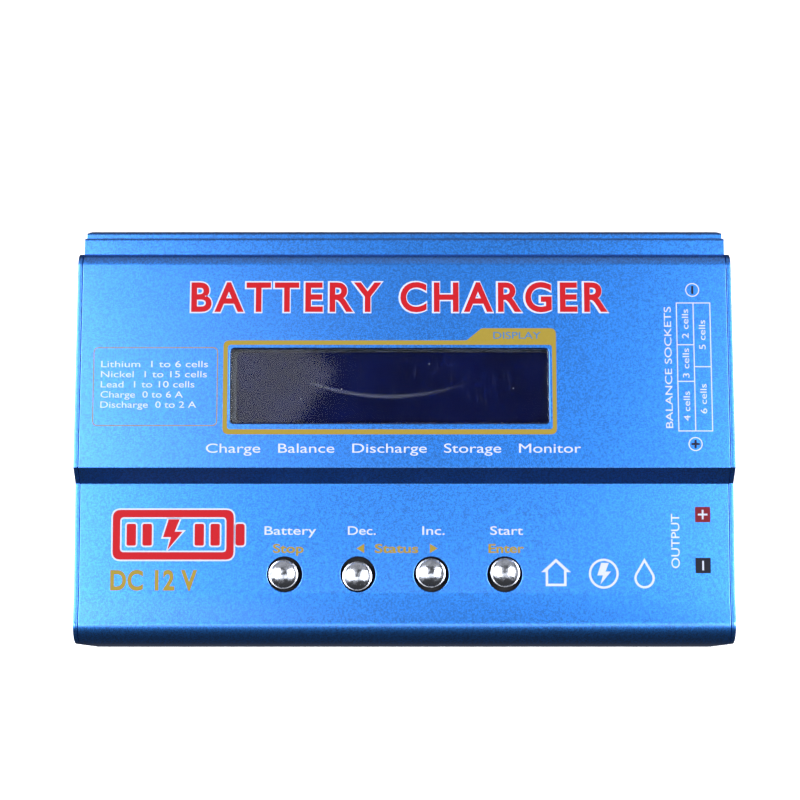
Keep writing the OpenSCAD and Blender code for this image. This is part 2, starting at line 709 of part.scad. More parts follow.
top_cover();
base_tray();
left_end_plate();
right_end_plate();
end_plate_screws();
feet();
display_window();
lcd_bezel();
lcd_glass();
lcd_backlight();
lcd_board();
board_headers();
solder_pins();
lcd_standoffs();
module_screws();
keypad_board();
keypad_standoffs();
switch_bodies();
button_cap_stop();
button_cap_dec();
button_cap_inc();
button_cap_start();
plunger_stop();
plunger_dec();
plunger_inc();
plunger_start();
main_board();
board_standoffs();
board_screws();
microcontroller();
small_chips();
chip_leads();
toroid_core();
toroid_winding();
capacitor_cans();
capacitor_sleeves();
transistor_bodies();
transistor_tabs();
transistor_pads();
transistor_clamp();
clamp_screws();
shunt_resistors();
buzzer();
crystal();
fuse();
dc_jack_body();
dc_jack_pin();
dc_jack_spring();
temperature_port();
balance_socket_2s();
balance_socket_3s();
balance_socket_4s();
balance_socket_5s();
balance_socket_6s();
socket_pins();
output_socket_positive();
output_socket_negative();
output_contacts();
output_nuts();
output_busbars();
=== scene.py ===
"""Finished look of a bench charger for balanced battery packs.

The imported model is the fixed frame. Every class below builds and dresses one sub-assembly,
and takes its places from the frame's own boxes. Sizes in fields are in millimetres.
"""

import json
import logging
import math
from dataclasses import dataclass, field
from enum import Enum
from typing import Iterable, Sequence

import bmesh
import bpy
from mathutils import Euler, Matrix, Vector

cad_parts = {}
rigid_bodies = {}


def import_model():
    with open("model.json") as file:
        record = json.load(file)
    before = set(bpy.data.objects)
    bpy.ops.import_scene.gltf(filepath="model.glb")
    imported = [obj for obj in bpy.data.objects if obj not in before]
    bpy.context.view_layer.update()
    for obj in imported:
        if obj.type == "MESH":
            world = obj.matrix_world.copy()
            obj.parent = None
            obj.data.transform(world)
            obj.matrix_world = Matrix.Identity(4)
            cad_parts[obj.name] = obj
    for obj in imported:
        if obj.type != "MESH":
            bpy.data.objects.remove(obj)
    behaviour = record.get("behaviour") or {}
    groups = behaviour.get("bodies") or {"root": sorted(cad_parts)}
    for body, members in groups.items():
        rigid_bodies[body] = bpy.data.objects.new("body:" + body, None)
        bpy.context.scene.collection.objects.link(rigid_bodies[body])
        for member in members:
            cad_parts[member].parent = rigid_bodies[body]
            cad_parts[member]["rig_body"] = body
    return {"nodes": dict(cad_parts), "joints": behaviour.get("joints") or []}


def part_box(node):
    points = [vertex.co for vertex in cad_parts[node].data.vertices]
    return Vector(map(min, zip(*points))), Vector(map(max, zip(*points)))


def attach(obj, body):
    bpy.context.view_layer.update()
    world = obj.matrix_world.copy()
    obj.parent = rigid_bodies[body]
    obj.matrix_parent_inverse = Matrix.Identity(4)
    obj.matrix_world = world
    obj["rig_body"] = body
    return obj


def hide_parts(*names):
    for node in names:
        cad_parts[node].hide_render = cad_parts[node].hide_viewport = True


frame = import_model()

MM = 0.001
MERGE = 0.002 * MM      # corners of a CAD mesh closer than this are one
SEED = 7                # of every random turn
CAP_HEIGHT = 0.729      # of the plain face, in shares of the type size
SENSOR = 36.0           # width of the camera's sensor
LOG = logging.getLogger("charger")

Colour = tuple[float, float, float, float]
Point2 = tuple[float, float]
Loop = list[Point2]


def srgb(red: int, green: int, blue: int) -> Colour:
    """Turns screen colour values into the linear colour that shaders use.

    Args:
        red: Red from 0 to 255.
        green: Green from 0 to 255.
        blue: Blue from 0 to 255.

    Returns:
        The linear colour with full alpha.
    """
    def linear(value: int) -> float:
        """Undoes the screen curve for one channel."""
        share = value / 255
        return share / 12.92 if share <= 0.04045 else ((share + 0.055) / 1.055) ** 2.4

    return (linear(red), linear(green), linear(blue), 1.0)


def shaded(colour: Colour, amount: float) -> Colour:
    """Makes a colour darker or lighter.

    Args:
        colour: The linear colour.
        amount: What each channel is multiplied by.

    Returns:
        The changed colour, each channel at most 1.
    """
    return tuple(min(1.0, channel * amount) for channel in colour[:3]) + (1.0,)


# ---- Nodes ---------------------------------------------------------------


def add_node(tree: bpy.types.NodeTree, kind: str, settings: dict | None = None,
             inputs: dict | None = None) -> bpy.types.Node:
    """Adds any node to a tree.

    Args:
        tree: The tree.
        kind: The node's type name.
        settings: Its properties, set first.
        inputs: Socket names or numbers, with a value or what is linked to each.

    Returns:
        The node.
    """
    node = tree.nodes.new(kind)
    for key, value in (settings or {}).items():
        setattr(node, key, value)
    for key, value in (inputs or {}).items():
        source = value.socket if isinstance(value, Value) else value
        if isinstance(source, bpy.types.NodeSocket):
            tree.links.new(source, node.inputs[key])
        else:
            node.inputs[key].default_value = source
    return node


class Value:
    """A number socket of a shader, which takes part in plain arithmetic."""

    def __init__(self, graph: "Graph", socket: bpy.types.NodeSocket) -> None:
        """Wraps a socket.

        Args:
            graph: The graph that the socket belongs to.
            socket: The output socket that carries the number.
        """
        self.graph = graph
        self.socket = socket

    def _joined(self, operation: str, first: "Value | float", second: "Value | float" = 0.0) -> "Value":
        """Adds one Math node.

        Args:
            operation: The Math node's operation.
            first: The first number or value.
            second: The second number or value.

        Returns:
            The node's result.
        """
        node = self.graph.add("ShaderNodeMath", {"operation": operation}, {0: first, 1: second})
        return Value(self.graph, node.outputs[0])

    def __add__(self, other: "Value | float") -> "Value":
        """Sum."""
        return self._joined("ADD", self, other)

    def __radd__(self, other: float) -> "Value":
        """Sum with a number on the left."""
        return self._joined("ADD", other, self)

    def __sub__(self, other: "Value | float") -> "Value":
        """Difference."""
        return self._joined("SUBTRACT", self, other)

    def __rsub__(self, other: float) -> "Value":
        """Difference from a number."""
        return self._joined("SUBTRACT", other, self)

    def __mul__(self, other: "Value | float") -> "Value":
        """Product."""
        return self._joined("MULTIPLY", self, other)

    def __rmul__(self, other: float) -> "Value":
        """Product with a number on the left."""
        return self._joined("MULTIPLY", other, self)

    def __abs__(self) -> "Value":
        """Size without its sign."""
        return self._joined("ABSOLUTE", self)

    def larger(self, other: "Value | float") -> "Value":
        """The larger of two values."""
        return self._joined("MAXIMUM", self, other)

    def between(self, low: float, high: float) -> "Value":
        """Rises smoothly from 0 to 1.

        Args:
            low: Where the result is 0; it may lie above high, and then the result falls.
            high: Where the result is 1.

        Returns:
            The smooth step.
        """
        node = self.graph.add(
            "ShaderNodeMapRange",
            {"interpolation_type": "SMOOTHSTEP"},
            {"Value": self, "From Min": low, "From Max": high},
        )
        return Value(self.graph, node.outputs[0])


class Graph:
    """The node tree of one material."""

    def __init__(self, name: str) -> None:
        """Starts an empty material.

        Args:
            name: The material's name.
        """
        self.material = bpy.data.materials.new(name)
        self.material.use_nodes = True
        self.tree = self.material.node_tree
        self.tree.nodes.clear()
        self.output = self.add("ShaderNodeOutputMaterial")
        self.place = self.add("ShaderNodeTexCoord").outputs["Object"]

    def add(self, kind: str, settings: dict | None = None, inputs: dict | None = None) -> bpy.types.Node:
        """Adds any node; what it takes and returns is as for add_node."""
        return add_node(self.tree, kind, settings, inputs)

    def stretched(self, scale: Sequence[float], turn: float = 0.0) -> bpy.types.NodeSocket:
        """Object coordinates, turned about z and scaled.

        Args:
            scale: Scale along each axis.
            turn: Turn about z in degrees.

        Returns:
            The vector socket.
        """
        inputs = {"Vector": self.place, "Rotation": (0, 0, math.radians(turn)), "Scale": tuple(scale)}
        return self.add("ShaderNodeMapping", {}, inputs).outputs[0]

    def noise(self, size: float, detail: float = 2.0, vector: bpy.types.NodeSocket | None = None) -> Value:
        """Soft random pattern.

        Args:
            size: Size of its patches in millimetres.
            detail: Number of finer layers.
            vector: Coordinates to use instead of the plain object coordinates.

        Returns:
            A value from 0 to 1.
        """
        inputs = {"Vector": vector or self.place, "Scale": 1 / (size * MM), "Detail": detail}
        return Value(self, self.add("ShaderNodeTexNoise", {}, inputs).outputs[0])

    def cells(self, size: float, feature: str = "F1", metric: str = "EUCLIDEAN") -> Value:
        """Distance in a cell pattern.

        Args:
            size: Size of a cell in millimetres.
            feature: The Voronoi node's feature.
            metric: The Voronoi node's metric.

        Returns:
            The distance, in shares of a cell.
        """
        settings = {"feature": feature}
        if feature == "F1":
            settings["distance"] = metric
        node = self.add("ShaderNodeTexVoronoi", settings, {"Vector": self.place, "Scale": 1 / (size * MM)})
        return Value(self, node.outputs["Distance"])

    def axis(self, name: str) -> Value:
        """One object coordinate, in millimetres."""
        parts = self.add("ShaderNodeSeparateXYZ", {}, {0: self.place})
        return Value(self, parts.outputs[name]) * (1 / MM)

    def blend(self, factor: Value, low: "Colour | bpy.types.NodeSocket",
              high: "Colour | bpy.types.NodeSocket") -> bpy.types.NodeSocket:
        """Mixes two colours.

        Args:
            factor: 0 gives the first colour and 1 the second.
            low: The first colour.
            high: The second colour.

        Returns:
            The mixed colour.
        """
        node = self.add("ShaderNodeMix", {"data_type": "RGBA"}, {0: factor, 6: low, 7: high})
        return node.outputs[2]

    def relief(self, height: Value, depth: float, strength: float = 1.0) -> bpy.types.NodeSocket:
        """Turns a height pattern into a normal.

        Args:
            height: The pattern, from 0 to 1.
            depth: How deep it is, in millimetres.
            strength: Share of the effect.

        Returns:
            The normal socket.
        """
        node = self.add("ShaderNodeBump", {}, {"Height": height, "Distance": depth * MM, "Strength": strength})
        return node.outputs[0]

    def surface(self, inputs: dict) -> bpy.types.Node:
        """Adds the shader and joins it to the output.

        Args:
            inputs: The shader's sockets.

        Returns:
            The shader node.
        """
        shader = self.add("ShaderNodeBsdfPrincipled", {}, inputs)
        self.tree.links.new(shader.outputs[0], self.output.inputs[0])
        return shader


# ---- Finishes ------------------------------------------------------------


@dataclass(frozen=True)
class Finish:
    """A surface finish, made once as a material.

    Attributes:
        name: The material's name.
    """

    name: str

    def dress(self, graph: Graph) -> None:
        """Builds the finish in a graph; each finish has its own way."""
        raise NotImplementedError

    def material(self) -> bpy.types.Material:
        """Makes the material.

        Returns:
            The material, its nodes all in place.
        """
        graph = Graph(self.name)
        self.dress(graph)
        return graph.material


@dataclass(frozen=True)
class Anodised(Finish):
    """Bead-blasted aluminium under a clear coloured anodic layer.

    Attributes:
        tone: Colour of the layer.
        roughness: Roughness of the blasted metal.
        grain: Size of the blasting marks.
        sheen: Weight of the clear top of the layer.
    """

    tone: Colour = (0.012, 0.176, 0.660, 1.0)
    roughness: float = 0.33
    grain: float = 0.20
    sheen: float = 0.6

    def dress(self, graph: Graph) -> None:
        """Builds fine pits, slow drifts of the dye and rub marks.

        Args:
            graph: The graph that it fills.
        """
        pits = graph.noise(self.grain, 3)
        sparkle = graph.noise(self.grain * 2.4, 1)
        drift = graph.noise(24, 3)
        rubs = graph.noise(1.1, 4, graph.stretched((1, 0.08, 1), 24)).between(0.66, 0.82)
        shade = pits * 0.65 + sparkle * 0.35
        fine = graph.blend(shade.between(0.40, 0.60), shaded(self.tone, 0.68), shaded(self.tone, 1.32))
        slow = graph.blend(drift.between(0.3, 0.7) * 0.22, fine, shaded(self.tone, 0.88))
        graph.surface({
            "Base Color": slow,
            "Metallic": 1.0,
            "Roughness": drift * 0.04 + pits * 0.08 + rubs * 0.05 + (self.roughness - 0.06),
            "Coat Weight": self.sheen,
            "Coat Roughness": 0.22,
            "Coat IOR": 2.0,
            "Normal": graph.relief(shade, 0.014, 0.6),
        })


@dataclass(frozen=True)
class Ink(Finish):
    """Screen-printed ink.

    Attributes:
        tone: Colour of the ink.
        metallic: Share of metal powder in it.
        roughness: Roughness of the dry film.
        thin: How much the ink thins out in its pinholes.
        ground: Colour of the metal that shows through them.
    """

    tone: Colour = (0.38, 0.42, 0.55, 1.0)
    metallic: float = 0.0
    roughness: float = 0.5
    thin: float = 0.35
    ground: Colour = srgb(20, 100, 205)

    def dress(self, graph: Graph) -> None:
        """Builds the mesh texture of the print and its pinholes.

        Args:
            graph: The graph that it fills.
        """
        mesh = graph.noise(0.14, 2)
        holes = graph.noise(0.22, 3).between(0.66, 0.80)
        film = graph.blend(mesh.between(0.3, 0.7), shaded(self.tone, 0.90), shaded(self.tone, 1.05))
        graph.surface({
            "Base Color": graph.blend(holes * self.thin, film, self.ground),
            "Metallic": self.metallic,
            "Roughness": mesh * 0.14 + (self.roughness - 0.07),
            "Specular IOR Level": 0.12,
            "Normal": graph.relief(mesh, 0.008, 0.5),
        })


@dataclass(frozen=True)
class Moulded(Finish):
    """Injection-moulded plastic or rubber.

    Attributes:
        tone: Colour of the plastic.
        roughness: Roughness of the moulded skin.
        grain: Size of the spark-eroded texture.
        depth: Depth of that texture.
        glow: How much light travels inside, as in nylon.
    """

    tone: Colour = srgb(22, 22, 24)
    roughness: float = 0.46
    grain: float = 0.22
    depth: float = 0.012
    glow: float = 0.0

    def dress(self, graph: Graph) -> None:
        """Builds the eroded grain, flow marks and scattered specks of dust.

        Args:
            graph: The graph that it fills.
        """
        grain = graph.noise(self.grain, 3)
        flow = graph.noise(5, 3, graph.stretched((1, 0.4, 1), 12))
        dust = graph.noise(0.5, 4).between(0.60, 0.78)
        body = graph.blend(flow, shaded(self.tone, 0.86), shaded(self.tone, 1.12))
        graph.surface({
            "Base Color": graph.blend(dust * 0.10, body, srgb(150, 148, 144)),
            "Roughness": grain * 0.14 + flow * 0.06 + (self.roughness - 0.10),
            "Subsurface Weight": self.glow,
            "Subsurface Radius": (0.9 * MM, 0.7 * MM, 0.5 * MM),
            "Subsurface Scale": 1.0,
            "Normal": graph.relief(grain, self.depth, 0.8),
        })


@dataclass(frozen=True)
class Plated(Finish):
    """Plated, turned or drawn metal.

    Attributes:
        tone: Colour of the metal.
        roughness: Roughness between the marks.
        marks: Strength of the tool marks.
        stain: Strength of fingerprints and tarnish.
        along: Scale of the marks along each axis; small means long.
    """

    tone: Colour = srgb(214, 215, 218)
    roughness: float = 0.22
    marks: float = 0.5
    stain: float = 0.25
    along: tuple[float, float, float] = (0.2, 1.0, 1.0)

    def dress(self, graph: Graph) -> None:
        """Builds drawn lines, tarnish and small pits.

        Args:
            graph: The graph that it fills.
        """
        lines = graph.noise(0.10, 2, graph.stretched(self.along))
        tarnish = graph.noise(2.4, 4).between(0.42, 0.72)
        pits = graph.noise(0.28, 2).between(0.64, 0.74)
        graph.surface({
            "Base Color": graph.blend(tarnish * self.stain, self.tone, shaded(self.tone, 0.62)),
            "Metallic": 1.0,
            "Roughness": lines * 0.08 + tarnish * 0.07 + pits * 0.08 + (self.roughness - 0.05),
            "Normal": graph.relief(lines * 0.7 + pits * 0.3, 0.006, self.marks),
        })


@dataclass(frozen=True)
class Chrome(Finish):
    """Polished metal that finger smears have dulled; the smears also darken its colour, which is painted shade
    standing for a dark reflection.

    Attributes:
        tone: Colour of the metal.
        roughness: Roughness where it is clean.
        smear: Size of the smears and of the patches of painted shade.
    """

    tone: Colour = srgb(190, 195, 208)
    roughness: float = 0.15
    smear: float = 1.0

    def dress(self, graph: Graph) -> None:
        """Builds smears, hairlines and a few dark specks; the smears also darken the colour as painted shade.

        Args:
            graph: The graph that it fills.
        """
        smears_and_painted_shade = graph.noise(self.smear, 4).between(0.40, 0.68)
        hair = graph.noise(0.09, 1, graph.stretched((1, 0.06, 1), 31)).between(0.60, 0.80)
        specks = graph.noise(0.32, 1).between(0.69, 0.76)
        # painted shade: where the smears lie, the colour darkens to stand for the dark reflection of camera and
        # ceiling
        painted_shade_tone = graph.blend(smears_and_painted_shade * 0.7, self.tone, shaded(self.tone, 0.38))
        graph.surface({
            "Base Color": graph.blend(specks * 0.5, painted_shade_tone, srgb(52, 60, 78)),
            "Metallic": 1.0,
            "Roughness": smears_and_painted_shade * 0.16 + hair * 0.10 + self.roughness,
            "Normal": graph.relief(smears_and_painted_shade * 0.8 + hair * 0.2, 0.014, 0.55),
        })


@dataclass(frozen=True)
class Acrylic(Finish):
    """Clear acrylic with dust specks, hairline scratches and one long pale arc streak.

    Attributes:
        tint: Faint colour of the sheet.
        rub_centre: Middle of the circle that the long pale streak follows.
        rub_radius: Radius of that circle.
    """

    tint: Colour = srgb(246, 250, 255)
    rub_centre: Point2 = (-3.0, 53.1)
    rub_radius: float = 47.0

    def dress(self, graph: Graph) -> None:
        """Builds a clear sheet, with its marks as a thin matt layer over it.

        Args:
            graph: The graph that it fills.
        """
        specks = graph.cells(3.1).between(0.055, 0.03)
        chosen = graph.noise(3.4, 0).between(0.52, 0.56)
        hair = graph.noise(0.10, 0, graph.stretched((1, 0.035, 1), 58)).between(0.76, 0.82)
        across, deep = graph.axis("X"), graph.axis("Y")
        # a pale streak along an arc of that circle, faded out towards both ends
        side = (across - self.rub_centre[0]) * (across - self.rub_centre[0])
        reach = (deep - self.rub_centre[1]) * (deep - self.rub_centre[1])
        radius = graph.add("ShaderNodeMath", {"operation": "SQRT"}, {0: side + reach}).outputs[0]
        line = abs(Value(graph, radius) - self.rub_radius).between(0.60, 0.0)
        faded = line * across.between(-21, -16) * across.between(16, -4)
        marks = (specks * chosen * 0.55).larger(hair * 0.05).larger(faded * 0.05)
        clear = graph.surface({
            "Base Color": self.tint,
            "Roughness": 0.05,
            "IOR": 1.36,
            "Transmission Weight": 1.0,
        })
        matt = graph.add("ShaderNodeBsdfPrincipled", {}, {
            "Base Color": srgb(188, 196, 220),
            "Roughness": 0.6,
        })
        mixed = graph.add("ShaderNodeMixShader", {}, {0: marks, 1: clear.outputs[0], 2: matt.outputs[0]})
        graph.tree.links.new(mixed.outputs[0], graph.output.inputs[0])


@dataclass(frozen=True)
class LiquidCrystal(Finish):
    """Dark polarised glass of a character display that is switched off.

    Attributes:
        tone: Colour of the dark glass.
        pitch: Distance between the characters.
    """

    tone: Colour = (0.0010, 0.0030, 0.032, 1.0)
    pitch: float = 3.55

    def dress(self, graph: Graph) -> None:
        """Builds the drift of the polariser's colour and its faint electrode lines.

        Args:
            graph: The graph that it fills.
        """
        drift = graph.noise(16, 2)
        film = graph.noise(0.8, 2)
        lanes = graph.axis("X") * (1 / self.pitch)
        lane = graph.add("ShaderNodeMath", {"operation": "FRACT"}, {0: lanes}).outputs[0]
        edge = abs(Value(graph, lane) - 0.5).between(0.46, 0.5)
        body = graph.blend(drift.between(0.35, 0.65), shaded(self.tone, 0.8), shaded(self.tone, 1.25))
        graph.surface({
            "Base Color": graph.blend(edge * 0.10, body, shaded(self.tone, 1.9)),
            "Roughness": film * 0.04 + 0.30,
            "Specular IOR Level": 0.0,
            "Normal": graph.relief(film, 0.002, 0.3),
        })


@dataclass(frozen=True)
class BoardMask(Finish):
    """Solder mask over copper tracks, with tinned pads.

    Attributes:
        tone: Colour of the mask over bare board.
        track: Colour of the mask over copper.
        pad: Colour of the tinned pads.
    """

    tone: Colour = srgb(12, 74, 44)
    track: Colour = srgb(30, 112, 66)
    pad: Colour = srgb(196, 198, 200)

    def dress(self, graph: Graph) -> None:
        """Builds tracks from square cells and pads at the cells' middles.

        Args:
            graph: The graph that it fills.
        """
        tracks = graph.cells(2.6, metric="CHEBYCHEV").between(0.48, 0.54)
        pads = graph.cells(5.2).between(0.10, 0.085)
        weave = graph.noise(0.35, 2)
        mask = graph.blend(weave.between(0.3, 0.7), shaded(self.tone, 0.9), shaded(self.tone, 1.12))
        drawn = graph.blend(tracks, mask, self.track)
        graph.surface({
            "Base Color": graph.blend(pads, drawn, self.pad),
            "Metallic": pads * 0.9,
            "Roughness": weave * 0.10 + (pads * 0.1 + 0.24),
            "Normal": graph.relief(tracks * 0.5 + pads * 0.5, 0.05, 0.6),
        })


class Slot(Enum):
    """The record's material slots."""

    SHELL = "shell"
    STEEL = "black_steel"
    RUBBER = "foot_rubber"
    WINDOW = "window_clear"
    BEZEL = "bezel_black"
    LCD = "lcd_cell"
    DIFFUSER = "diffuser"
    BOARD = "circuit_board"
    BLACK = "black_plastic"
    WHITE = "white_plastic"
    RED = "red_plastic"
    ORANGE = "orange_plastic"
    SLEEVE = "sleeve_plastic"
    CAP = "cap_chrome"
    TINNED = "tinned"
    BRASS = "brass"
    COPPER = "copper"
    FERRITE = "ferrite"
    CAN = "can_aluminium"
    PAD = "thermal_pad"
    CERAMIC = "ceramic"


class Palette:
    """Every finish of the charger, made into a material when it is first asked for."""

    FINISHES = {
        Slot.SHELL: Anodised("anodised_blue"),
        Slot.STEEL: Plated("blackened_steel", srgb(104, 104, 110), 0.30, 0.6, 0.3),
        Slot.RUBBER: Moulded("rubber", srgb(30, 30, 31), 0.78, 0.4, 0.03),
        Slot.WINDOW: Acrylic("acrylic"),
        Slot.BEZEL: Plated("bezel_lacquer", srgb(58, 62, 70), 0.40, 0.5, 0.3),
        Slot.LCD: LiquidCrystal("lcd_glass"),
        Slot.DIFFUSER: Moulded("diffuser_sheet", srgb(226, 232, 240), 0.5, 0.3, 0.01, 0.2),
        Slot.BOARD: BoardMask("solder_mask"),
        Slot.BLACK: Moulded("black_nylon"),
        Slot.WHITE: Moulded("natural_nylon", srgb(236, 232, 216), 0.44, 0.3, 0.008, 0.12),
        Slot.RED: Moulded("red_nylon", srgb(196, 22, 30), 0.38, 0.3, 0.008),
        Slot.ORANGE: Moulded("orange_nylon", srgb(222, 110, 30), 0.4, 0.3, 0.008),
        Slot.SLEEVE: Moulded("shrink_sleeve", srgb(20, 26, 70), 0.3, 0.6, 0.006),
        Slot.CAP: Chrome("smeared_chrome_painted_shade"),
        Slot.TINNED: Plated("tin_plate"),
        Slot.BRASS: Plated("gilt_brass", srgb(216, 176, 92), 0.24, 0.4, 0.3),
        Slot.COPPER: Plated("enamelled_copper", srgb(186, 96, 48), 0.24, 0.3, 0.4),
        Slot.FERRITE: Moulded("ferrite_paint", srgb(196, 182, 70), 0.5, 0.5, 0.03),
        Slot.CAN: Plated("can_aluminium", srgb(200, 202, 206), 0.3, 0.5, 0.2, (1.0, 1.0, 0.2)),
        Slot.PAD: Moulded("thermal_pad", srgb(142, 154, 166), 0.8, 0.5, 0.02),
        Slot.CERAMIC: Moulded("white_ceramic", srgb(224, 218, 204), 0.7, 0.3, 0.03),
    }
    INKS = {
        "white": Ink("ink_white"),
        "red": Ink("ink_red", (0.31, 0.002, 0.007, 1.0), 0.0, 0.5, 0.05),
        "maroon": Ink("ink_maroon", (0.12, 0.004, 0.010, 1.0), 0.0, 0.5, 0.1),
        "gold": Ink("ink_gold", (0.215, 0.160, 0.022, 1.0), 0.1, 0.55, 0.12),
        "black": Ink("ink_black", (0.004, 0.005, 0.012, 1.0), 0.0, 0.5, 0.1),
        "blue": Ink("ink_blue", (0.03, 0.12, 0.28, 1.0), 0.2, 0.5, 0.2),
    }

    def __init__(self) -> None:
        """Starts with no material made."""
        self._made: dict[str, bpy.types.Material] = {}

    def made(self, finish: Finish) -> bpy.types.Material:
        """Gives a finish's material, made once.

        Args:
            finish: The finish.

        Returns:
            The material.
        """
        if finish.name not in self._made:
            self._made[finish.name] = finish.material()
        return self._made[finish.name]

    def of(self, slot: Slot) -> bpy.types.Material:
        """The material of a record slot."""
        return self.made(self.FINISHES[slot])

    def ink(self, name: str) -> bpy.types.Material:
        """The material of a printing ink."""
        return self.made(self.INKS[name])


# ---- Mesh work -----------------------------------------------------------


def new_object(name: str, mesh: bpy.types.Mesh) -> bpy.types.Object:
    """Puts a mesh into the scene as an object at the origin.

    Args:
        name: The object's name.
        mesh: Its mesh, with its place already in it.

    Returns:
        The object.
    """
    mesh.name = name
    made = bpy.data.objects.new(name, mesh)
    bpy.context.scene.collection.objects.link(made)
    return made


def drop(thing: bpy.types.Object) -> None:
    """Removes a helper object."""
    bpy.data.objects.remove(thing)


def evaluated(source: bpy.types.Object) -> bpy.types.Mesh:
    """The plain mesh of an object with its modifiers done."""
    graph = bpy.context.evaluated_depsgraph_get()
    return bpy.data.meshes.new_from_object(source.evaluated_get(graph), depsgraph=graph)


def smooth(mesh: bpy.types.Mesh, angle: float) -> None:
    """Shades a mesh smooth, with its edges kept sharp above an angle in degrees."""
    mesh.shade_smooth()
    mesh.set_sharp_from_angle(angle=math.radians(angle))


def mesh_from(bm: bmesh.types.BMesh, name: str, angle: float = 40.0) -> bpy.types.Mesh:
    """Turns a bmesh into a smooth-shaded mesh and frees it.

    Args:
        bm: The shape.
        name: The mesh's name.
        angle: Edges sharper than this many degrees stay hard.

    Returns:
        The mesh.
    """
    mesh = bpy.data.meshes.new(name)
    bm.to_mesh(mesh)
    bm.free()
    if "custom_normal" in mesh.attributes:
        mesh.attributes.remove(mesh.attributes["custom_normal"])
    smooth(mesh, angle)
    return mesh


def softened(node: str, name: str, width: float, segments: int = 2) -> bpy.types.Object:
    """Copies a CAD node and rounds its hard edges.

    Args:
        node: The CAD node.
        name: Name of the new piece.
        width: Width of the rounding.
        segments: Facets across the rounding.

    Returns:
        The new piece, with even shading on its flat faces.
    """
    hard = math.radians(34)
    bm = bmesh.new()
    bm.from_mesh(frame["nodes"][node].data)
    bmesh.ops.remove_doubles(bm, verts=bm.verts, dist=MERGE)
    bmesh.ops.dissolve_limit(bm, angle_limit=math.radians(0.4), verts=bm.verts, edges=bm.edges)
    edges = [e for e in bm.edges if e.is_manifold and e.calc_face_angle(0.0) > hard]
    bmesh.ops.bevel(bm, geom=edges, offset=width * MM, offset_type="OFFSET", segments=segments,
                    profile=0.5, affect="EDGES", clamp_overlap=False, miter_outer="ARC")
    piece = new_object(name, mesh_from(bm, name, 60))
    even = piece.modifiers.new("even", "WEIGHTED_NORMAL")
    even.keep_sharp = True
    mesh = evaluated(piece)
    piece.modifiers.clear()
    piece.data = mesh
    return piece


def lathe(profile: Sequence[Point2], sides: int) -> bmesh.types.BMesh:
    """Turns a profile about z.

    Args:
        profile: Points as (radius, height), from one point on the axis to another.
        sides: Facets round the axis.

    Returns:
        The closed shape, in millimetres.
    """
    bm = bmesh.new()
    rings = []
    for radius, height in profile:
        count = sides if radius > 1e-6 else 1
        turns = [2 * math.pi * k / sides for k in range(count)]
        rings.append([bm.verts.new((radius * math.cos(t), radius * math.sin(t), height)) for t in turns])
    for low, high in zip(rings, rings[1:]):
        for k in range(sides):
            n = (k + 1) % sides
            corners = [low[k % len(low)], low[n % len(low)], high[n % len(high)], high[k % len(high)]]
            unique = list(dict.fromkeys(corners))
            if len(unique) > 2:
                bm.faces.new(unique)
    bmesh.ops.recalc_face_normals(bm, faces=bm.faces)
    return bm


def arc(centre: Point2, radius: float, start: float, end: float, steps: int) -> list[Point2]:
    """Points along an arc.

    Args:
        centre: The arc's centre.
        radius: Its radius.
        start: First angle in degrees.
        end: Last angle in degrees.
        steps: Number of stretches.

    Returns:
        The points, both ends included.
    """
    angles = [math.radians(start + (end - start) * k / steps) for k in range(steps + 1)]
    return [(centre[0] + radius * math.cos(a), centre[1] + radius * math.sin(a)) for a in angles]


def add_box(bm: bmesh.types.BMesh, low: Sequence[float], high: Sequence[float]) -> None:
    """Adds a box to a bmesh.

    Args:
        bm: The shape that it is added to.
        low: Its low corner.
        high: Its high corner.
    """
    size = [b - a for a, b in zip(low, high)]
    middle = [(a + b) / 2 for a, b in zip(low, high)]
    place = Matrix.Translation(middle) @ Matrix.Diagonal((*size, 1.0))
    bmesh.ops.create_cube(bm, size=1.0, matrix=place)


def cut(body: bpy.types.Mesh, tool: bpy.types.Mesh) -> bpy.types.Mesh:
    """Takes one closed mesh out of another.

    Args:
        body: The mesh that stays.
        tool: The mesh that is taken away.

    Returns:
        What is left.
    """
    stays, goes = new_object("cut_body", body), new_object("cut_tool", tool)
    modifier = stays.modifiers.new("cut", "BOOLEAN")
    modifier.operation = "DIFFERENCE"
    modifier.solver = "EXACT"
    modifier.object = goes
    left = evaluated(stays)
    drop(stays)
    drop(goes)
    return left


# ---- Repeated pieces -----------------------------------------------------


@dataclass(frozen=True)
class Place:
    """Where one repeated piece goes.

    Attributes:
        point: Its origin in metres.
        axis: Where its z axis points.
        side: Where its x axis points, as near as it can.
    """

    point: Vector
    axis: Vector
    side: Vector

    def euler(self) -> Euler:
        """Works out how the piece is turned.

        Returns:
            The turn that takes its own axes to the wanted ones.
        """
        z = self.axis.normalized()
        y = z.cross(self.side).normalized()
        return Matrix((y.cross(z), y, z)).transposed().to_euler()


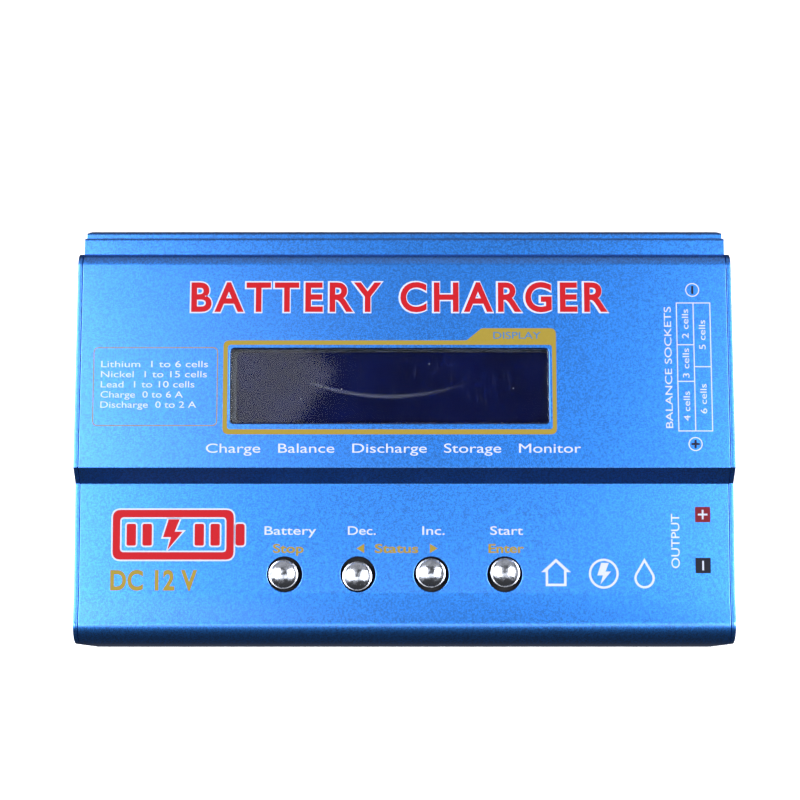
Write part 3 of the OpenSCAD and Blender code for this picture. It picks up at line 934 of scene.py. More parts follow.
class Repeater:
    """Geometry Nodes tree that sets a small piece on every point of a mesh."""

    INPUTS = [
        ("Points", "NodeSocketGeometry"), ("Piece", "NodeSocketObject"), ("Finish", "NodeSocketMaterial"),
        ("Largest turn", "NodeSocketFloat"), ("Seed", "NodeSocketInt"),
    ]

    def __init__(self) -> None:
        """Builds the tree."""
        self.tree = bpy.data.node_groups.new("pieces_on_points", "GeometryNodeTree")
        self.ids = {}
        for name, kind in self.INPUTS:
            socket = self.tree.interface.new_socket(name, in_out="INPUT", socket_type=kind)
            self.ids[name] = socket.identifier
        self.tree.interface.new_socket("Pieces", in_out="OUTPUT", socket_type="NodeSocketGeometry")
        given = self._add("NodeGroupInput")
        piece = self._add("GeometryNodeObjectInfo", {}, {"Object": given.outputs["Piece"], "As Instance": True})
        turn = self._add("GeometryNodeInputNamedAttribute", {"data_type": "FLOAT_VECTOR"}, {"Name": "turn"})
        placed = self._add("FunctionNodeEulerToRotation", {}, {0: turn.outputs["Attribute"]})
        chance = self._add("FunctionNodeRandomValue", {"data_type": "FLOAT"}, {"Seed": given.outputs["Seed"]})
        self.tree.links.new(given.outputs["Largest turn"], chance.inputs[3])
        about = self._add("ShaderNodeCombineXYZ", {}, {"Z": chance.outputs[1]})
        spin = self._add("FunctionNodeEulerToRotation", {}, {0: about.outputs[0]})
        both = self._add("FunctionNodeRotateRotation", {"rotation_space": "LOCAL"},
                         {0: placed.outputs[0], 1: spin.outputs[0]})
        spread = self._add("GeometryNodeInstanceOnPoints", {}, {
            "Points": given.outputs["Points"], "Instance": piece.outputs["Geometry"],
            "Rotation": both.outputs[0],
        })
        real = self._add("GeometryNodeRealizeInstances", {}, {0: spread.outputs[0]})
        dressed = self._add("GeometryNodeSetMaterial", {},
                            {"Geometry": real.outputs[0], "Material": given.outputs["Finish"]})
        self._add("NodeGroupOutput", {}, {0: dressed.outputs[0]})

    def _add(self, kind: str, settings: dict | None = None, inputs: dict | None = None) -> bpy.types.Node:
        """Adds any node; what it takes and returns is as for add_node."""
        return add_node(self.tree, kind, settings, inputs)

    def spread(self, name: str, piece: bpy.types.Mesh, places: Sequence[Place],
               finish: bpy.types.Material, largest_turn: float = 0.0) -> bpy.types.Object:
        """Sets a piece on every place and makes the result one plain mesh.

        Args:
            name: Name of the result.
            piece: The small piece, in metres about its own origin.
            places: Where the copies go.
            finish: The material of them all.
            largest_turn: Largest random turn of a copy about its own axis, in degrees.

        Returns:
            The finished object.
        """
        carrier = bpy.data.meshes.new("places")
        carrier.from_pydata([p.point for p in places], [], [])
        turn = carrier.attributes.new("turn", "FLOAT_VECTOR", "POINT")
        for item, place in zip(turn.data, places):
            item.vector = place.euler()
        holder, model = new_object("places", carrier), new_object("model", piece)
        modifier = holder.modifiers.new("pieces", "NODES")
        modifier.node_group = self.tree
        modifier[self.ids["Piece"]] = model
        modifier[self.ids["Finish"]] = finish
        modifier[self.ids["Largest turn"]] = math.radians(largest_turn)
        modifier[self.ids["Seed"]] = SEED
        mesh = evaluated(holder)
        holder.modifiers.clear()
        drop(holder)
        drop(model)
        mesh.materials.clear()
        mesh.materials.append(finish)
        return new_object(name, mesh)


# ---- Sub-assemblies ------------------------------------------------------


@dataclass
class Assembly:
    """A group of pieces that are built and dressed together.

    Attributes:
        palette: The finishes.
        repeater: The tree for repeated pieces.
    """

    palette: Palette
    repeater: Repeater

    def build(self) -> None:
        """Builds every piece of the group."""
        raise NotImplementedError

    def dress(self, slot: Slot, *nodes: str) -> None:
        """Gives CAD nodes the finish of a slot.

        Args:
            slot: The record's slot.
            nodes: Names of the nodes.
        """
        for node in nodes:
            thing = frame["nodes"][node]
            if not thing.material_slots:
                thing.data.materials.append(None)
            for place in thing.material_slots:
                place.material = self.palette.of(slot)
            LOG.info("dressed %s as %s", node, slot.value)

    def settle(self, piece: bpy.types.Object, slot: Slot, body: str = "case",
               stands_for: Iterable[str] = (), paint: bool = True) -> bpy.types.Object:
        """Hands a finished piece to its body.

        Args:
            piece: The piece, in place.
            slot: The record's slot that its finish comes from.
            body: The body that it rides on.
            stands_for: CAD nodes that it stands for.
            paint: Whether it takes the slot's own material.

        Returns:
            The piece.
        """
        if paint:
            piece.data.materials.clear()
            piece.data.materials.append(self.palette.of(slot))
        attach(piece, body)
        names = list(stands_for)
        if names:
            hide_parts(*names)
        LOG.info("%s: %d faces, rides on %s", piece.name, len(piece.data.polygons), body)
        return piece

    def soften(self, slot: Slot, width: float, nodes: Iterable[str], segments: int = 2) -> None:
        """Replaces CAD nodes by copies with rounded edges.

        Args:
            slot: The slot of them all.
            width: Width of the rounding.
            nodes: The CAD nodes.
            segments: Facets across the rounding.
        """
        for node in nodes:
            piece = softened(node, f"{node}_body", width, segments)
            self.settle(piece, slot, frame["nodes"][node]["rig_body"], [node])


@dataclass
class Shell(Assembly):
    """The two aluminium extrusions, the end plates and the feet.

    Attributes:
        cover_edge: Rounding of the cover's cut edges.
        tray_edge: Rounding of the tray and the plates.
        foot_r: Largest radius of a foot.
        dimple: Radius of the hollow under a foot.
    """

    cover_edge: float = 0.20
    tray_edge: float = 0.12
    foot_r: float = 4.5
    dimple: float = 2.2

    def foot(self, height: float) -> bpy.types.Mesh:
        """A moulded foot with a hollow under it.

        Args:
            height: Its height.

        Returns:
            The foot, its underside at z = 0, in metres.
        """
        lip, draft, depth = 0.25, 0.5, 0.35
        radius, low = self.foot_r, self.foot_r - draft
        profile = [(0, depth), (self.dimple - 0.3, depth), (self.dimple, depth - 0.1), (self.dimple + 0.25, 0.05),
                   (self.dimple + 0.5, 0), (low - lip, 0)]
        profile += arc((low - lip, lip), lip, -90, -10, 4)
        profile += [(radius - 0.02, height - 0.42), (radius, height - 0.3), (radius, height - 0.05),
                    (radius - 0.05, height), (0, height)]
        bm = lathe(profile, 48)
        bmesh.ops.scale(bm, vec=(MM, MM, MM), verts=bm.verts)
        return mesh_from(bm, "foot", 35)

    def build(self) -> None:
        """Builds the shell's pieces."""
        self.soften(Slot.SHELL, self.cover_edge, ["top_cover"], 3)
        self.soften(Slot.SHELL, self.tray_edge, ["base_tray", "left_end_plate", "right_end_plate"])
        low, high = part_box("feet")
        reach = self.foot_r * MM
        places = [Place(Vector((x, y, low.z)), Vector((0, 0, 1)), Vector((1, 0, 0)))
                  for x in (low.x + reach, high.x - reach) for y in (low.y + reach, high.y - reach)]
        feet = self.repeater.spread("rubber_feet", self.foot((high.z - low.z) / MM), places,
                                    self.palette.of(Slot.RUBBER), 360)
        self.settle(feet, Slot.RUBBER, stands_for=["feet"])


@dataclass
class Fasteners(Assembly):
    """The countersunk screws of the end plates, and the screws inside.

    Attributes:
        head_r: Radius of a screw head.
        shank_r: Radius of a shank.
        cone: Depth of the countersunk head.
        pitch: Pitch of the thread.
        cross: Width of a wing of the driver recess.
        cross_reach: Half the length of the recess.
        cross_depth: Its depth.
        along: Share of a wing's length that is left at its bottom.
        across: Share of a wing's width that is left at its bottom.
    """

    head_r: float = 2.07
    shank_r: float = 1.0
    cone: float = 0.82
    pitch: float = 0.45
    cross: float = 0.52
    cross_reach: float = 1.18
    cross_depth: float = 0.62
    along: float = 0.62
    across: float = 0.8

    def screw(self, length: float) -> bpy.types.Mesh:
        """A countersunk screw that points along -z, the rim of its head at z = 0.

        Args:
            length: Length with the head.

        Returns:
            The screw, in metres.
        """
        crown = 0.10
        profile = [(0, -length), (self.shank_r - 0.25, -length), (self.shank_r, -length + 0.3)]
        depth = -length + 0.6
        while depth < -self.cone - self.pitch - 0.2:
            profile += [(self.shank_r, depth), (self.shank_r - 0.14, depth + self.pitch / 2)]
            depth += self.pitch
        profile += [(self.shank_r, -self.cone - 0.2), (self.shank_r + 0.15, -self.cone)]
        profile += [(self.head_r - 0.06, -crown - 0.10), (self.head_r, -crown), (self.head_r - 0.08, -0.05)]
        profile += [(self.head_r * 0.72, -0.01), (self.head_r * 0.4, 0), (0, 0)]
        body = mesh_from(lathe(profile, 40), "screw")
        made = cut(body, self.recess())
        made.transform(Matrix.Scale(MM, 4))
        smooth(made, 32)
        return made

    def recess(self) -> bpy.types.Mesh:
        """What the driver recess takes out of a head: two crossed wings that narrow downwards.

        Returns:
            The two closed wings, in millimetres.
        """
        tool = bmesh.new()
        for half_x, half_y in ((self.cross_reach, self.cross / 2), (self.cross / 2, self.cross_reach)):
            one = bmesh.new()
            add_box(one, (-half_x, -half_y, -self.cross_depth), (half_x, half_y, 1))
            for corner in one.verts:
                if corner.co.z < 0:
                    corner.co.x *= self.along if half_x == self.cross_reach else self.across
                    corner.co.y *= self.along if half_y == self.cross_reach else self.across
            wing = bpy.data.meshes.new("wing")
            one.to_mesh(wing)
            one.free()
            tool.from_mesh(wing)
        wings = bpy.data.meshes.new("wings")
        tool.to_mesh(wings)
        tool.free()
        return wings

    @staticmethod
    def heads() -> tuple[list[Place], float]:
        """Finds each screw of the end plates in its CAD node.

        Returns:
            The places of the heads, in an order that is the same in every run, and a screw's
            length in millimetres.
        """
        bm = bmesh.new()
        bm.from_mesh(frame["nodes"]["end_plate_screws"].data)
        bmesh.ops.remove_doubles(bm, verts=bm.verts, dist=MERGE)
        rest = set(bm.verts)
        places = []
        length = 0.0
        while rest:
            island, edge = set(), [rest.pop()]
            while edge:
                corner = edge.pop()
                island.add(corner)
                near = {e.other_vert(corner) for e in corner.link_edges} & rest
                rest -= near
                edge.extend(near)
            spots = [v.co for v in island]
            side = 1.0 if spots[0].x > 0 else -1.0
            outer = max(p.x * side for p in spots)
            length = max(length, (outer - min(p.x * side for p in spots)) / MM)
            middle = [(max(p[k] for p in spots) + min(p[k] for p in spots)) / 2 for k in (1, 2)]
            point = Vector((outer * side, *middle))
            places.append(Place(point, Vector((side, 0, 0)), Vector((0, 0, 1))))
        bm.free()
        places.sort(key=lambda place: [round(value, 5) for value in place.point])
        return places, length

    def build(self) -> None:
        """Builds the outer screws and dresses the inner ones."""
        places, length = self.heads()
        screws = self.repeater.spread("countersunk_screws", self.screw(length), places,
                                      self.palette.of(Slot.STEEL), 90)
        self.settle(screws, Slot.STEEL, stands_for=["end_plate_screws"])
        self.dress(Slot.TINNED, "board_screws", "module_screws", "clamp_screws")
        self.dress(Slot.BRASS, "board_standoffs", "keypad_standoffs")
        self.dress(Slot.WHITE, "lcd_standoffs")


class Display(Assembly):
    """The clear window and the display module behind it."""

    def build(self) -> None:
        """Builds the visible layers and dresses the hidden ones."""
        self.soften(Slot.WINDOW, 0.12, ["display_window"])
        self.soften(Slot.BEZEL, 0.10, ["lcd_bezel"])
        self.soften(Slot.LCD, 0.08, ["lcd_glass"])
        self.dress(Slot.DIFFUSER, "lcd_backlight")
        self.dress(Slot.BOARD, "lcd_board")
        self.dress(Slot.BLACK, "board_headers")
        self.dress(Slot.TINNED, "solder_pins")


@dataclass
class Keypad(Assembly):
    """The four sprung caps and what they press on.

    Attributes:
        rim_r: Radius of the rim round the dome.
        rim_top: Height of the rim above the face.
        dome_r: Radius of the dome's foot.
        dome_base: Height at which the dome starts to curve.
        dome_rise: Height of the curved part.
        flange_r: Radius of the flange behind the cover.
        flange: Lower and upper height of the flange.
        bore_r: Radius of the bore for the plunger.
        foot: Depth of the cap's lower end.
        bore_top: Height of the bore's end.
        skirt_top: Height below which the cap is near-black, as painted shade in the gap round it.
        skirt: Near-black finish of the part below that height, which stays behind the cover; painted shade in the
            gap round the cap.
    """

    rim_r: float = 2.95
    rim_top: float = 0.05
    dome_r: float = 2.67
    dome_base: float = 0.5
    dome_rise: float = 0.75
    flange_r: float = 4.1
    flange: Point2 = (-2.9, -2.2)
    bore_r: float = 1.8
    foot: float = -3.3
    bore_top: float = -1.4
    skirt_top: float = -0.25
    skirt: Finish = Moulded("painted_gap_shade", srgb(7, 8, 14), 0.75)

    def ball(self) -> Point2:
        """Radius of the ball that the dome is cut from, and the height of its centre."""
        radius = (self.dome_r ** 2 + self.dome_rise ** 2) / (2 * self.dome_rise)
        return radius, self.dome_base + self.dome_rise - radius

    def profile(self) -> list[Point2]:
        """Half section of a cap, from the bore's end to the top of the dome.

        Returns:
            Points as (radius, height above the face).
        """
        ball, centre = self.ball()
        lean = math.degrees(math.acos(self.dome_r * 0.955 / ball))
        under, over = self.flange
        points = [(0, self.bore_top), (self.bore_r, self.bore_top), (self.bore_r, self.foot),
                  (self.rim_r, self.foot), (self.rim_r, under), (self.flange_r, under),
                  (self.flange_r, over), (self.rim_r, over),
                  (self.rim_r, self.rim_top - 0.10), (self.rim_r - 0.03, self.rim_top - 0.02),
                  (self.rim_r - 0.09, self.rim_top), (self.dome_r + 0.06, self.rim_top),
                  (self.dome_r + 0.01, self.rim_top + 0.02), (self.dome_r, self.rim_top + 0.08),
                  (self.dome_r, self.dome_base - 0.16), (self.dome_r - 0.02, self.dome_base - 0.02)]
        return points + arc((0, centre), ball, lean, 90, 26)[:-1] + [(0, self.dome_base + self.dome_rise)]

    def cap(self, key: str) -> bpy.types.Object:
        """One cap, turned into its place.

        Args:
            key: The key's name.

        Returns:
            The cap, its lower end near-black as painted shade in the gap round it.
        """
        node = f"button_cap_{key}"
        low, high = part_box(node)
        joint = next(j for j in frame["joints"] if j["child"] == f"button_{key}")
        out = -Vector(joint["axis"])
        lean = math.atan2(-out.y, out.z)
        ball, centre = self.ball()
        y = (low.y + high.y) / 2 - out.y * sum(self.flange) / 2 * MM
        z = high.z - (centre * out.z + ball) * MM
        place = Matrix.Translation(((low.x + high.x) / 2, y, z)) @ Matrix.Rotation(lean, 4, "X")
        bm = lathe(self.profile(), 72)
        # painted shade: the cap below the face is near-black, standing for the shade in the gap round it
        for face in bm.faces:
            face.material_index = 1 if face.calc_center_median().z < self.skirt_top else 0
        mesh = mesh_from(bm, node, 38)
        mesh.transform(place @ Matrix.Scale(MM, 4))
        mesh.materials.append(self.palette.of(Slot.CAP))
        mesh.materials.append(self.palette.made(self.skirt))
        return new_object(f"{node}_dome", mesh)

    def build(self) -> None:
        """Builds the caps and dresses the parts under them."""
        for key in ("stop", "dec", "inc", "start"):
            self.settle(self.cap(key), Slot.CAP, f"button_{key}", [f"button_cap_{key}"], paint=False)
            self.dress(Slot.WHITE, f"plunger_{key}")
        self.dress(Slot.BLACK, "switch_bodies")
        self.dress(Slot.BOARD, "keypad_board")


class Sockets(Assembly):
    """The sockets in both end plates."""

    def build(self) -> None:
        """Builds the sockets' visible pieces and dresses the rest."""
        balance = [f"balance_socket_{cells}s" for cells in range(2, 7)]
        self.soften(Slot.WHITE, 0.16, balance)
        self.soften(Slot.BLACK, 0.16, ["temperature_port", "dc_jack_body", "output_socket_negative"])
        self.soften(Slot.RED, 0.16, ["output_socket_positive"])
        self.soften(Slot.TINNED, 0.30, ["dc_jack_pin"])
        self.soften(Slot.BRASS, 0.12, ["output_contacts"])
        self.soften(Slot.TINNED, 0.07, ["socket_pins"], 1)
        self.dress(Slot.BRASS, "dc_jack_spring")
        self.dress(Slot.TINNED, "output_nuts")
        self.dress(Slot.COPPER, "output_busbars")


class Electronics(Assembly):
    """What the case holds."""

    FINISHES = {
        Slot.BOARD: ["main_board"],
        Slot.BLACK: ["microcontroller", "small_chips", "transistor_bodies", "buzzer"],
        Slot.TINNED: ["chip_leads", "transistor_tabs", "transistor_clamp", "crystal"],
        Slot.FERRITE: ["toroid_core"],
        Slot.COPPER: ["toroid_winding"],
        Slot.CAN: ["capacitor_cans"],
        Slot.SLEEVE: ["capacitor_sleeves"],
        Slot.PAD: ["transistor_pads"],
        Slot.CERAMIC: ["shunt_resistors"],
        Slot.ORANGE: ["fuse"],
    }

    def build(self) -> None:
        """Dresses every part on and under the main board."""
        for slot, nodes in self.FINISHES.items():
            self.dress(slot, *nodes)


# ---- Print ---------------------------------------------------------------


def rounded(corners: Sequence[tuple[float, float, float]], steps: int = 5) -> Loop:
    """A closed outline with round corners.

    Args:
        corners: Corners as (x, y, radius).
        steps: Stretches in each round corner.

    Returns:
        The outline's points.
    """
    points = []
    for k, (x, y, radius) in enumerate(corners):
        here = Vector((x, y))
        before = (Vector(corners[k - 1][:2]) - here).normalized()
        after = (Vector(corners[(k + 1) % len(corners)][:2]) - here).normalized()
        if radius <= 0:
            points.append((x, y))
            continue
        reach = radius / math.tan(before.angle(after) / 2)
        start, end = here + before * reach, here + after * reach
        for n in range(steps + 1):
            t = n / steps
            spot = start * (1 - t) ** 2 + here * (2 * t * (1 - t)) + end * t ** 2
            points.append((spot.x, spot.y))
    return points


def block(x0: float, x1: float, y0: float, y1: float, radius: float = 0.0) -> Loop:
    """A rectangle's outline, with round corners if radius is above 0."""
    return rounded([(x0, y0, radius), (x1, y0, radius), (x1, y1, radius), (x0, y1, radius)])


def disc(x: float, y: float, radius: float, steps: int = 36) -> Loop:
    """A circle's outline."""
    return arc((x, y), radius, 0, 360, steps)[:-1]


def grown(outline: Loop, amount: float) -> Loop:
    """Moves an outline, listed anticlockwise, outwards.

    Args:
        outline: The closed outline.
        amount: How far it moves.

    Returns:
        The moved outline.
    """
    moved = []
    for k, point in enumerate(outline):
        here = Vector(point)
        a = (here - Vector(outline[k - 1])).normalized()
        b = (Vector(outline[(k + 1) % len(outline)]) - here).normalized()
        m, n = Vector((a.y, -a.x)), Vector((b.y, -b.x))
        spot = here + (m + n) * (amount / max(0.25, 1 + m.dot(n)))
        moved.append((spot.x, spot.y))
    return moved


class Sheet:
    """The print in one ink on one face of the case."""

    FOOT = -0.02        # where the ink starts, just inside the metal
    WELD = 0.0002       # corners closer than this are one

    def __init__(self, name: str, face: Matrix, ink: str, slot: Slot, top: float) -> None:
        """Starts an empty sheet.

        Args:
            name: The piece's name.
            face: Takes (x, y, height) in millimetres to the row frame in metres.
            ink: The ink's name.
            slot: The record's slot of the piece.
            top: Height of the dry ink above the face.
        """
        self.name, self.face, self.ink, self.slot, self.top = name, face, ink, slot, top
        self.bm = bmesh.new()

    @staticmethod
    def _filled(curve: bpy.types.Curve) -> bpy.types.Mesh:
        """Makes a flat curve or text a mesh.

        Args:
            curve: The curve.

        Returns:
            The mesh, in the curve's own plane.
        """
        holder = bpy.data.objects.new("outline", curve)
        bpy.context.scene.collection.objects.link(holder)
        mesh = evaluated(holder)
        drop(holder)
        return mesh

    def _take(self, curve: bpy.types.Curve, place: Matrix) -> None:
        """Adds a filled curve to the sheet as a thin closed solid.

        Args:
            curve: A curve or text, one unit thick, centred on its plane.
            place: Takes the curve's own plane to the face's millimetres.
        """
        mesh = self._filled(curve)
        thick = Matrix.Diagonal((1, 1, self.top - self.FOOT, 1))
        middle = Matrix.Translation((0, 0, (self.top + self.FOOT) / 2))
        mesh.transform(middle @ thick @ place)
        self.bm.from_mesh(mesh)
        bpy.data.meshes.remove(mesh)

    def shape(self, *loops: Loop) -> None:
        """Prints a filled shape.

        Args:
            loops: Its outline, then the holes inside it.
        """
        curve = bpy.data.curves.new("outline", "CURVE")
        curve.dimensions = "2D"
        curve.fill_mode = "BOTH"
        curve.extrude = 0.5
        for loop in loops:
            spline = curve.splines.new("POLY")
            spline.points.add(len(loop) - 1)
            for point, (x, y) in zip(spline.points, loop):
                point.co = (x, y, 0, 1)
            spline.use_cyclic_u = True
        self._take(curve, Matrix.Identity(4))

    def words(self, text: str, x0: float, x1: float, base: float, cap: float, weight: float = 0.0,
              turned: bool = False, spacing: float = 1.0) -> None:
        """Prints plain lettering.

        Args:
            text: The words.
            x0: Left end; for turned words, the lower end.
            x1: Right end; for turned words, the upper end.
            base: The base line; for turned words, its x.
            cap: Height of a capital.
            weight: How much bolder than the plain face, in shares of the type size.
            turned: Whether the words read upwards.
            spacing: Distance between letters, 1 as designed.
        """
        curve = bpy.data.curves.new("words", "FONT")
        curve.body = text
        curve.fill_mode = "BOTH"
        curve.extrude = 0.5
        curve.offset = weight
        curve.space_character = spacing
        curve.resolution_u = 6
        mesh = self._filled(curve)
        xs = [v.co.x for v in mesh.vertices]
        low, high = min(xs), max(xs)
        bpy.data.meshes.remove(mesh)
        across = (x1 - x0) / (high - low)
        tall = cap / CAP_HEIGHT
        flat = Matrix.Translation((x0 - low * across, 0, 0)) @ Matrix.Diagonal((across, tall, 1, 1))
        if turned:
            place = Matrix.Translation((base, 0, 0)) @ Matrix.Rotation(math.pi / 2, 4, "Z") @ flat
        else:
            place = Matrix.Translation((0, base, 0)) @ flat
        self._take(curve, place)

    def piece(self, palette: Palette) -> bpy.types.Object:
        """Makes the sheet one object in its ink.

        Args:
            palette: The finishes.

        Returns:
            The object.
        """
        bmesh.ops.remove_doubles(self.bm, verts=self.bm.verts, dist=self.WELD)
        mesh = bpy.data.meshes.new(self.name)
        self.bm.to_mesh(mesh)
        self.bm.free()
        mesh.transform(self.face)
        mesh.materials.append(palette.ink(self.ink))
        return new_object(self.name, mesh)


@dataclass
class Print(Assembly):
    """Everything that is screen-printed on the case.

    Attributes:
        film: Thickness of one pass of ink above the metal.
        line: Width of a thin printed line.
        keypad_low: Lower end of the keypad face, as (y, z).
        sheets: What has been printed so far.
    """

    film: float = 0.008
    line: float = 0.20
    keypad_low: Point2 = (-33.3, 28.5)
    sheets: list[Sheet] = field(default_factory=list)

    def sheet(self, name: str, face: Matrix, ink: str, slot: Slot, passes: int = 1) -> Sheet:
        """Starts a sheet of print.

        Args:
            name: The piece's name.
            face: The face's matrix.
            ink: The ink's name.
            slot: The record's slot.
            passes: How many passes of ink lie there, this one included.

        Returns:
            The sheet.
        """
        made = Sheet(name, face, ink, slot, self.film * passes)
        self.sheets.append(made)
        return made

    def display_face(self) -> Matrix:
        """Matrix of the level face round the display."""
        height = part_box("top_cover")[1].z
        return Matrix.Translation((0, 0, height)) @ Matrix.Scale(MM, 4)

    def keypad_face(self) -> Matrix:
        """Matrix of the sloping keypad face.

        Returns:
            The matrix; x and y are as seen from above.
        """
        out = -Vector(frame["joints"][0]["axis"])
        slope = -out.y / out.z
        height = self.keypad_low[1] - self.keypad_low[0] * slope
        rise = Matrix(((1, 0, 0, 0), (0, 1, out.y, 0), (0, slope, out.z, height), (0, 0, 0, 1)))
        return Matrix.Scale(MM, 4) @ rise

    def plate_face(self, side: int) -> Matrix:
        """Matrix of an end plate's outer face; x runs to the reader's right and y up.

        Args:
            side: 1 for the output side and -1 for the input side.

        Returns:
            The matrix.
        """
        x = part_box("right_end_plate")[1].x if side > 0 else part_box("left_end_plate")[0].x
        turn = Matrix(((0, 0, side, 0), (side, 0, 0, 0), (0, 1, 0, 0), (0, 0, 0, 1)))
        return Matrix.Translation((x, 0, 0)) @ Matrix.Scale(MM, 4) @ turn

    def frame_and_title(self) -> None:
        """Prints the frame round the display, its tab, the title and the line of functions."""
        face = self.display_face()
        gold = self.sheet("print_gold_frame", face, "gold", Slot.BRASS)
        outer = rounded([(-36.65, -1.7, 1.3), (30.7, -1.7, 1.3), (30.7, 20.0, 1.3), (15.6, 20.0, 1.0),
                         (12.6, 17.5, 1.0), (-36.65, 17.5, 1.3)])
        gold.shape(outer, block(-35.72, 29.85, -0.65, 16.57, 0.6)[::-1])
        tab = self.sheet("print_tab_word", face, "blue", Slot.SHELL, 2)
        tab.words("DISPLAY", 18.0, 27.6, 17.85, 1.45, 0.004)
        outline = self.sheet("print_title_edge", face, "white", Slot.WHITE)
        title = self.sheet("print_title", face, "red", Slot.RED, 2)
        text, spacing = "BATTERY CHARGER", 1.22
        outline.words(text, -43.6, 41.6, 23.55, 6.1, 0.056, spacing=spacing)
        title.words(text, -43.3, 41.3, 23.55, 6.1, 0.024, spacing=spacing)
        white = self.sheet("print_white_top", face, "white", Slot.WHITE)
        white.words("Charge   Balance   Discharge   Storage   Monitor", -39.9, 35.5, -5.4, 1.95, 0.0)
        self.ratings(white, gold)
        self.socket_table(white)

    def ratings(self, white: Sheet, gold: Sheet) -> None:
        """Prints the box of cell types beside the display.

        Args:
            white: The white sheet.
            gold: The gold sheet.
        """
        left, right, low, high = -62.9, -37.7, 0.0, 16.1
        gold.shape(block(left, right, low, high, 1.1),
                   block(left + self.line, right - self.line, low + self.line, high - self.line, 0.9)[::-1])
        lines = [("Lithium  1 to 6 cells", 21.6), ("Nickel  1 to 15 cells", 21.4), ("Lead  1 to 10 cells", 18.9),
                 ("Charge  0 to 6 A", 16.6), ("Discharge  0 to 2 A", 19.3)]
        for row, (text, length) in enumerate(lines):
            white.words(text, -61.3, -61.3 + length, 12.0 - 2.07 * row, 1.36, 0.0)

    def socket_table(self, white: Sheet) -> None:
        """Prints the table of balance sockets with its signs.

        Args:
            white: The white sheet.
        """
        left, split, right, low, high = 55.2, 58.6, 62.0, -1.0, 25.2
        cells = [(left, split, (low, 9.1)), (left, split, (9.1, 16.6)), (left, split, (16.6, high)),
                 (split, right, (low, 12.1)), (split, right, (12.1, high))]
        names = ["4 cells", "3 cells", "2 cells", "6 cells", "5 cells"]
        half = self.line / 2
        white.shape(block(left - half, right + half, low - half, high + half),
                    *(block(x0 + half, x1 - half, y0 + half, y1 - half)[::-1] for x0, x1, (y0, y1) in cells))
        for (x0, x1, (y0, y1)), name in zip(cells, names):
            middle = (y0 + y1) / 2
            white.words(name, middle - 3.0, middle + 3.0, (x0 + x1) / 2 + 0.66, 1.36, 0.0, turned=True)
        white.words("BALANCE SOCKETS", -0.4, 24.4, 54.05, 1.5, 0.0, turned=True)
        for y in (27.9, -3.65):
            white.shape(disc(58.5, y, 1.42), disc(58.5, y, 1.42 - self.line)[::-1])
        dark = self.sheet("print_signs", self.display_face(), "black", Slot.BLACK)
        bar, arm = 0.22, 0.85
        dark.shape(block(58.5 - bar, 58.5 + bar, 27.9 - arm, 27.9 + arm))
        dark.shape(self.plus(58.5, -3.65, arm, bar))

    @staticmethod
    def plus(x: float, y: float, arm: float, bar: float) -> Loop:
        """Outline of a plus sign.

        Args:
            x: Its middle.
            y: Its middle.
            arm: Length of an arm.
            bar: Half the width of an arm.

        Returns:
            The outline.
        """
        corners = [(bar, -arm), (bar, -bar), (arm, -bar), (arm, bar), (bar, bar), (bar, arm),
                   (-bar, arm), (-bar, bar), (-arm, bar), (-arm, -bar), (-bar, -bar), (-bar, -arm)]
        return [(x + u, y + v) for u, v in corners]

    @staticmethod
    def bolt(x: float, y: float, height: float) -> Loop:
        """Outline of a lightning bolt.

        Args:
            x: Its middle.
            y: Its middle.
            height: Its height.

        Returns:
            The outline, anticlockwise.
        """
        corners = [(-0.16, -0.5), (0.34, 0.10), (0.08, 0.10), (0.24, 0.5),
                   (-0.12, 0.5), (-0.30, -0.08), (-0.04, -0.08)]
        return [(x + u * height, y + v * height) for u, v in corners]

    def keypad_labels(self) -> None:
        """Prints the labels over the buttons."""
        face = self.keypad_face()
        white = self.sheet("print_white_keys", face, "white", Slot.WHITE)
        base, cap, bold = -21.6, 1.8, 0.004
        for text, x0, x1 in (("Battery", -28.2, -17.8), ("Dec.", -11.4, -5.8), ("Inc.", 3.6, 8.1),
                             ("Start", 17.3, 23.9)):
            white.words(text, x0, x1, base, cap, bold)
        white.words("OUTPUT", -28.3, -17.4, 55.4, 1.75, bold, turned=True)
        gold = self.sheet("print_gold_keys", face, "gold", Slot.BRASS)
        for text, x0, x1 in (("Stop", -26.5, -20.3), ("Status", -6.0, 2.8), ("Enter", 16.9, 24.1)):
            gold.words(text, x0, x1, -25.2, cap, 0.028)
        for tip, back in ((-9.7, -8.1), (6.7, 5.1)):
            corners = [(tip, -24.35), (back, -25.3), (back, -23.4)]
            gold.shape(corners if tip > back else corners[::-1])
        gold.words("DC 12 V", -59.2, -41.7, -32.6, 4.0, 0.035, spacing=1.05)
        self.poles(face)
        self.emblem(face)
        self.symbols(white)

    def poles(self, face: Matrix) -> None:
        """Prints the marks of the output's poles.

        Args:
            face: The keypad face's matrix.
        """
        red = self.sheet("print_pole_red", face, "maroon", Slot.RED)
        black = self.sheet("print_pole_black", face, "black", Slot.BLACK)
        half, arm, bar = 1.55, 0.95, 0.17
        red.shape(block(60.14 - half, 60.14 + half, -17.55 - half, -17.55 + half, 0.2))
        black.shape(block(60.11 - half, 60.11 + half, -27.78 - half, -27.78 + half, 0.2))
        signs = self.sheet("print_pole_signs", face, "white", Slot.WHITE, 2)
        signs.shape(self.plus(60.14, -17.55, arm, bar))
        signs.shape(block(60.11 - bar, 60.11 + bar, -27.78 - arm, -27.78 + arm))

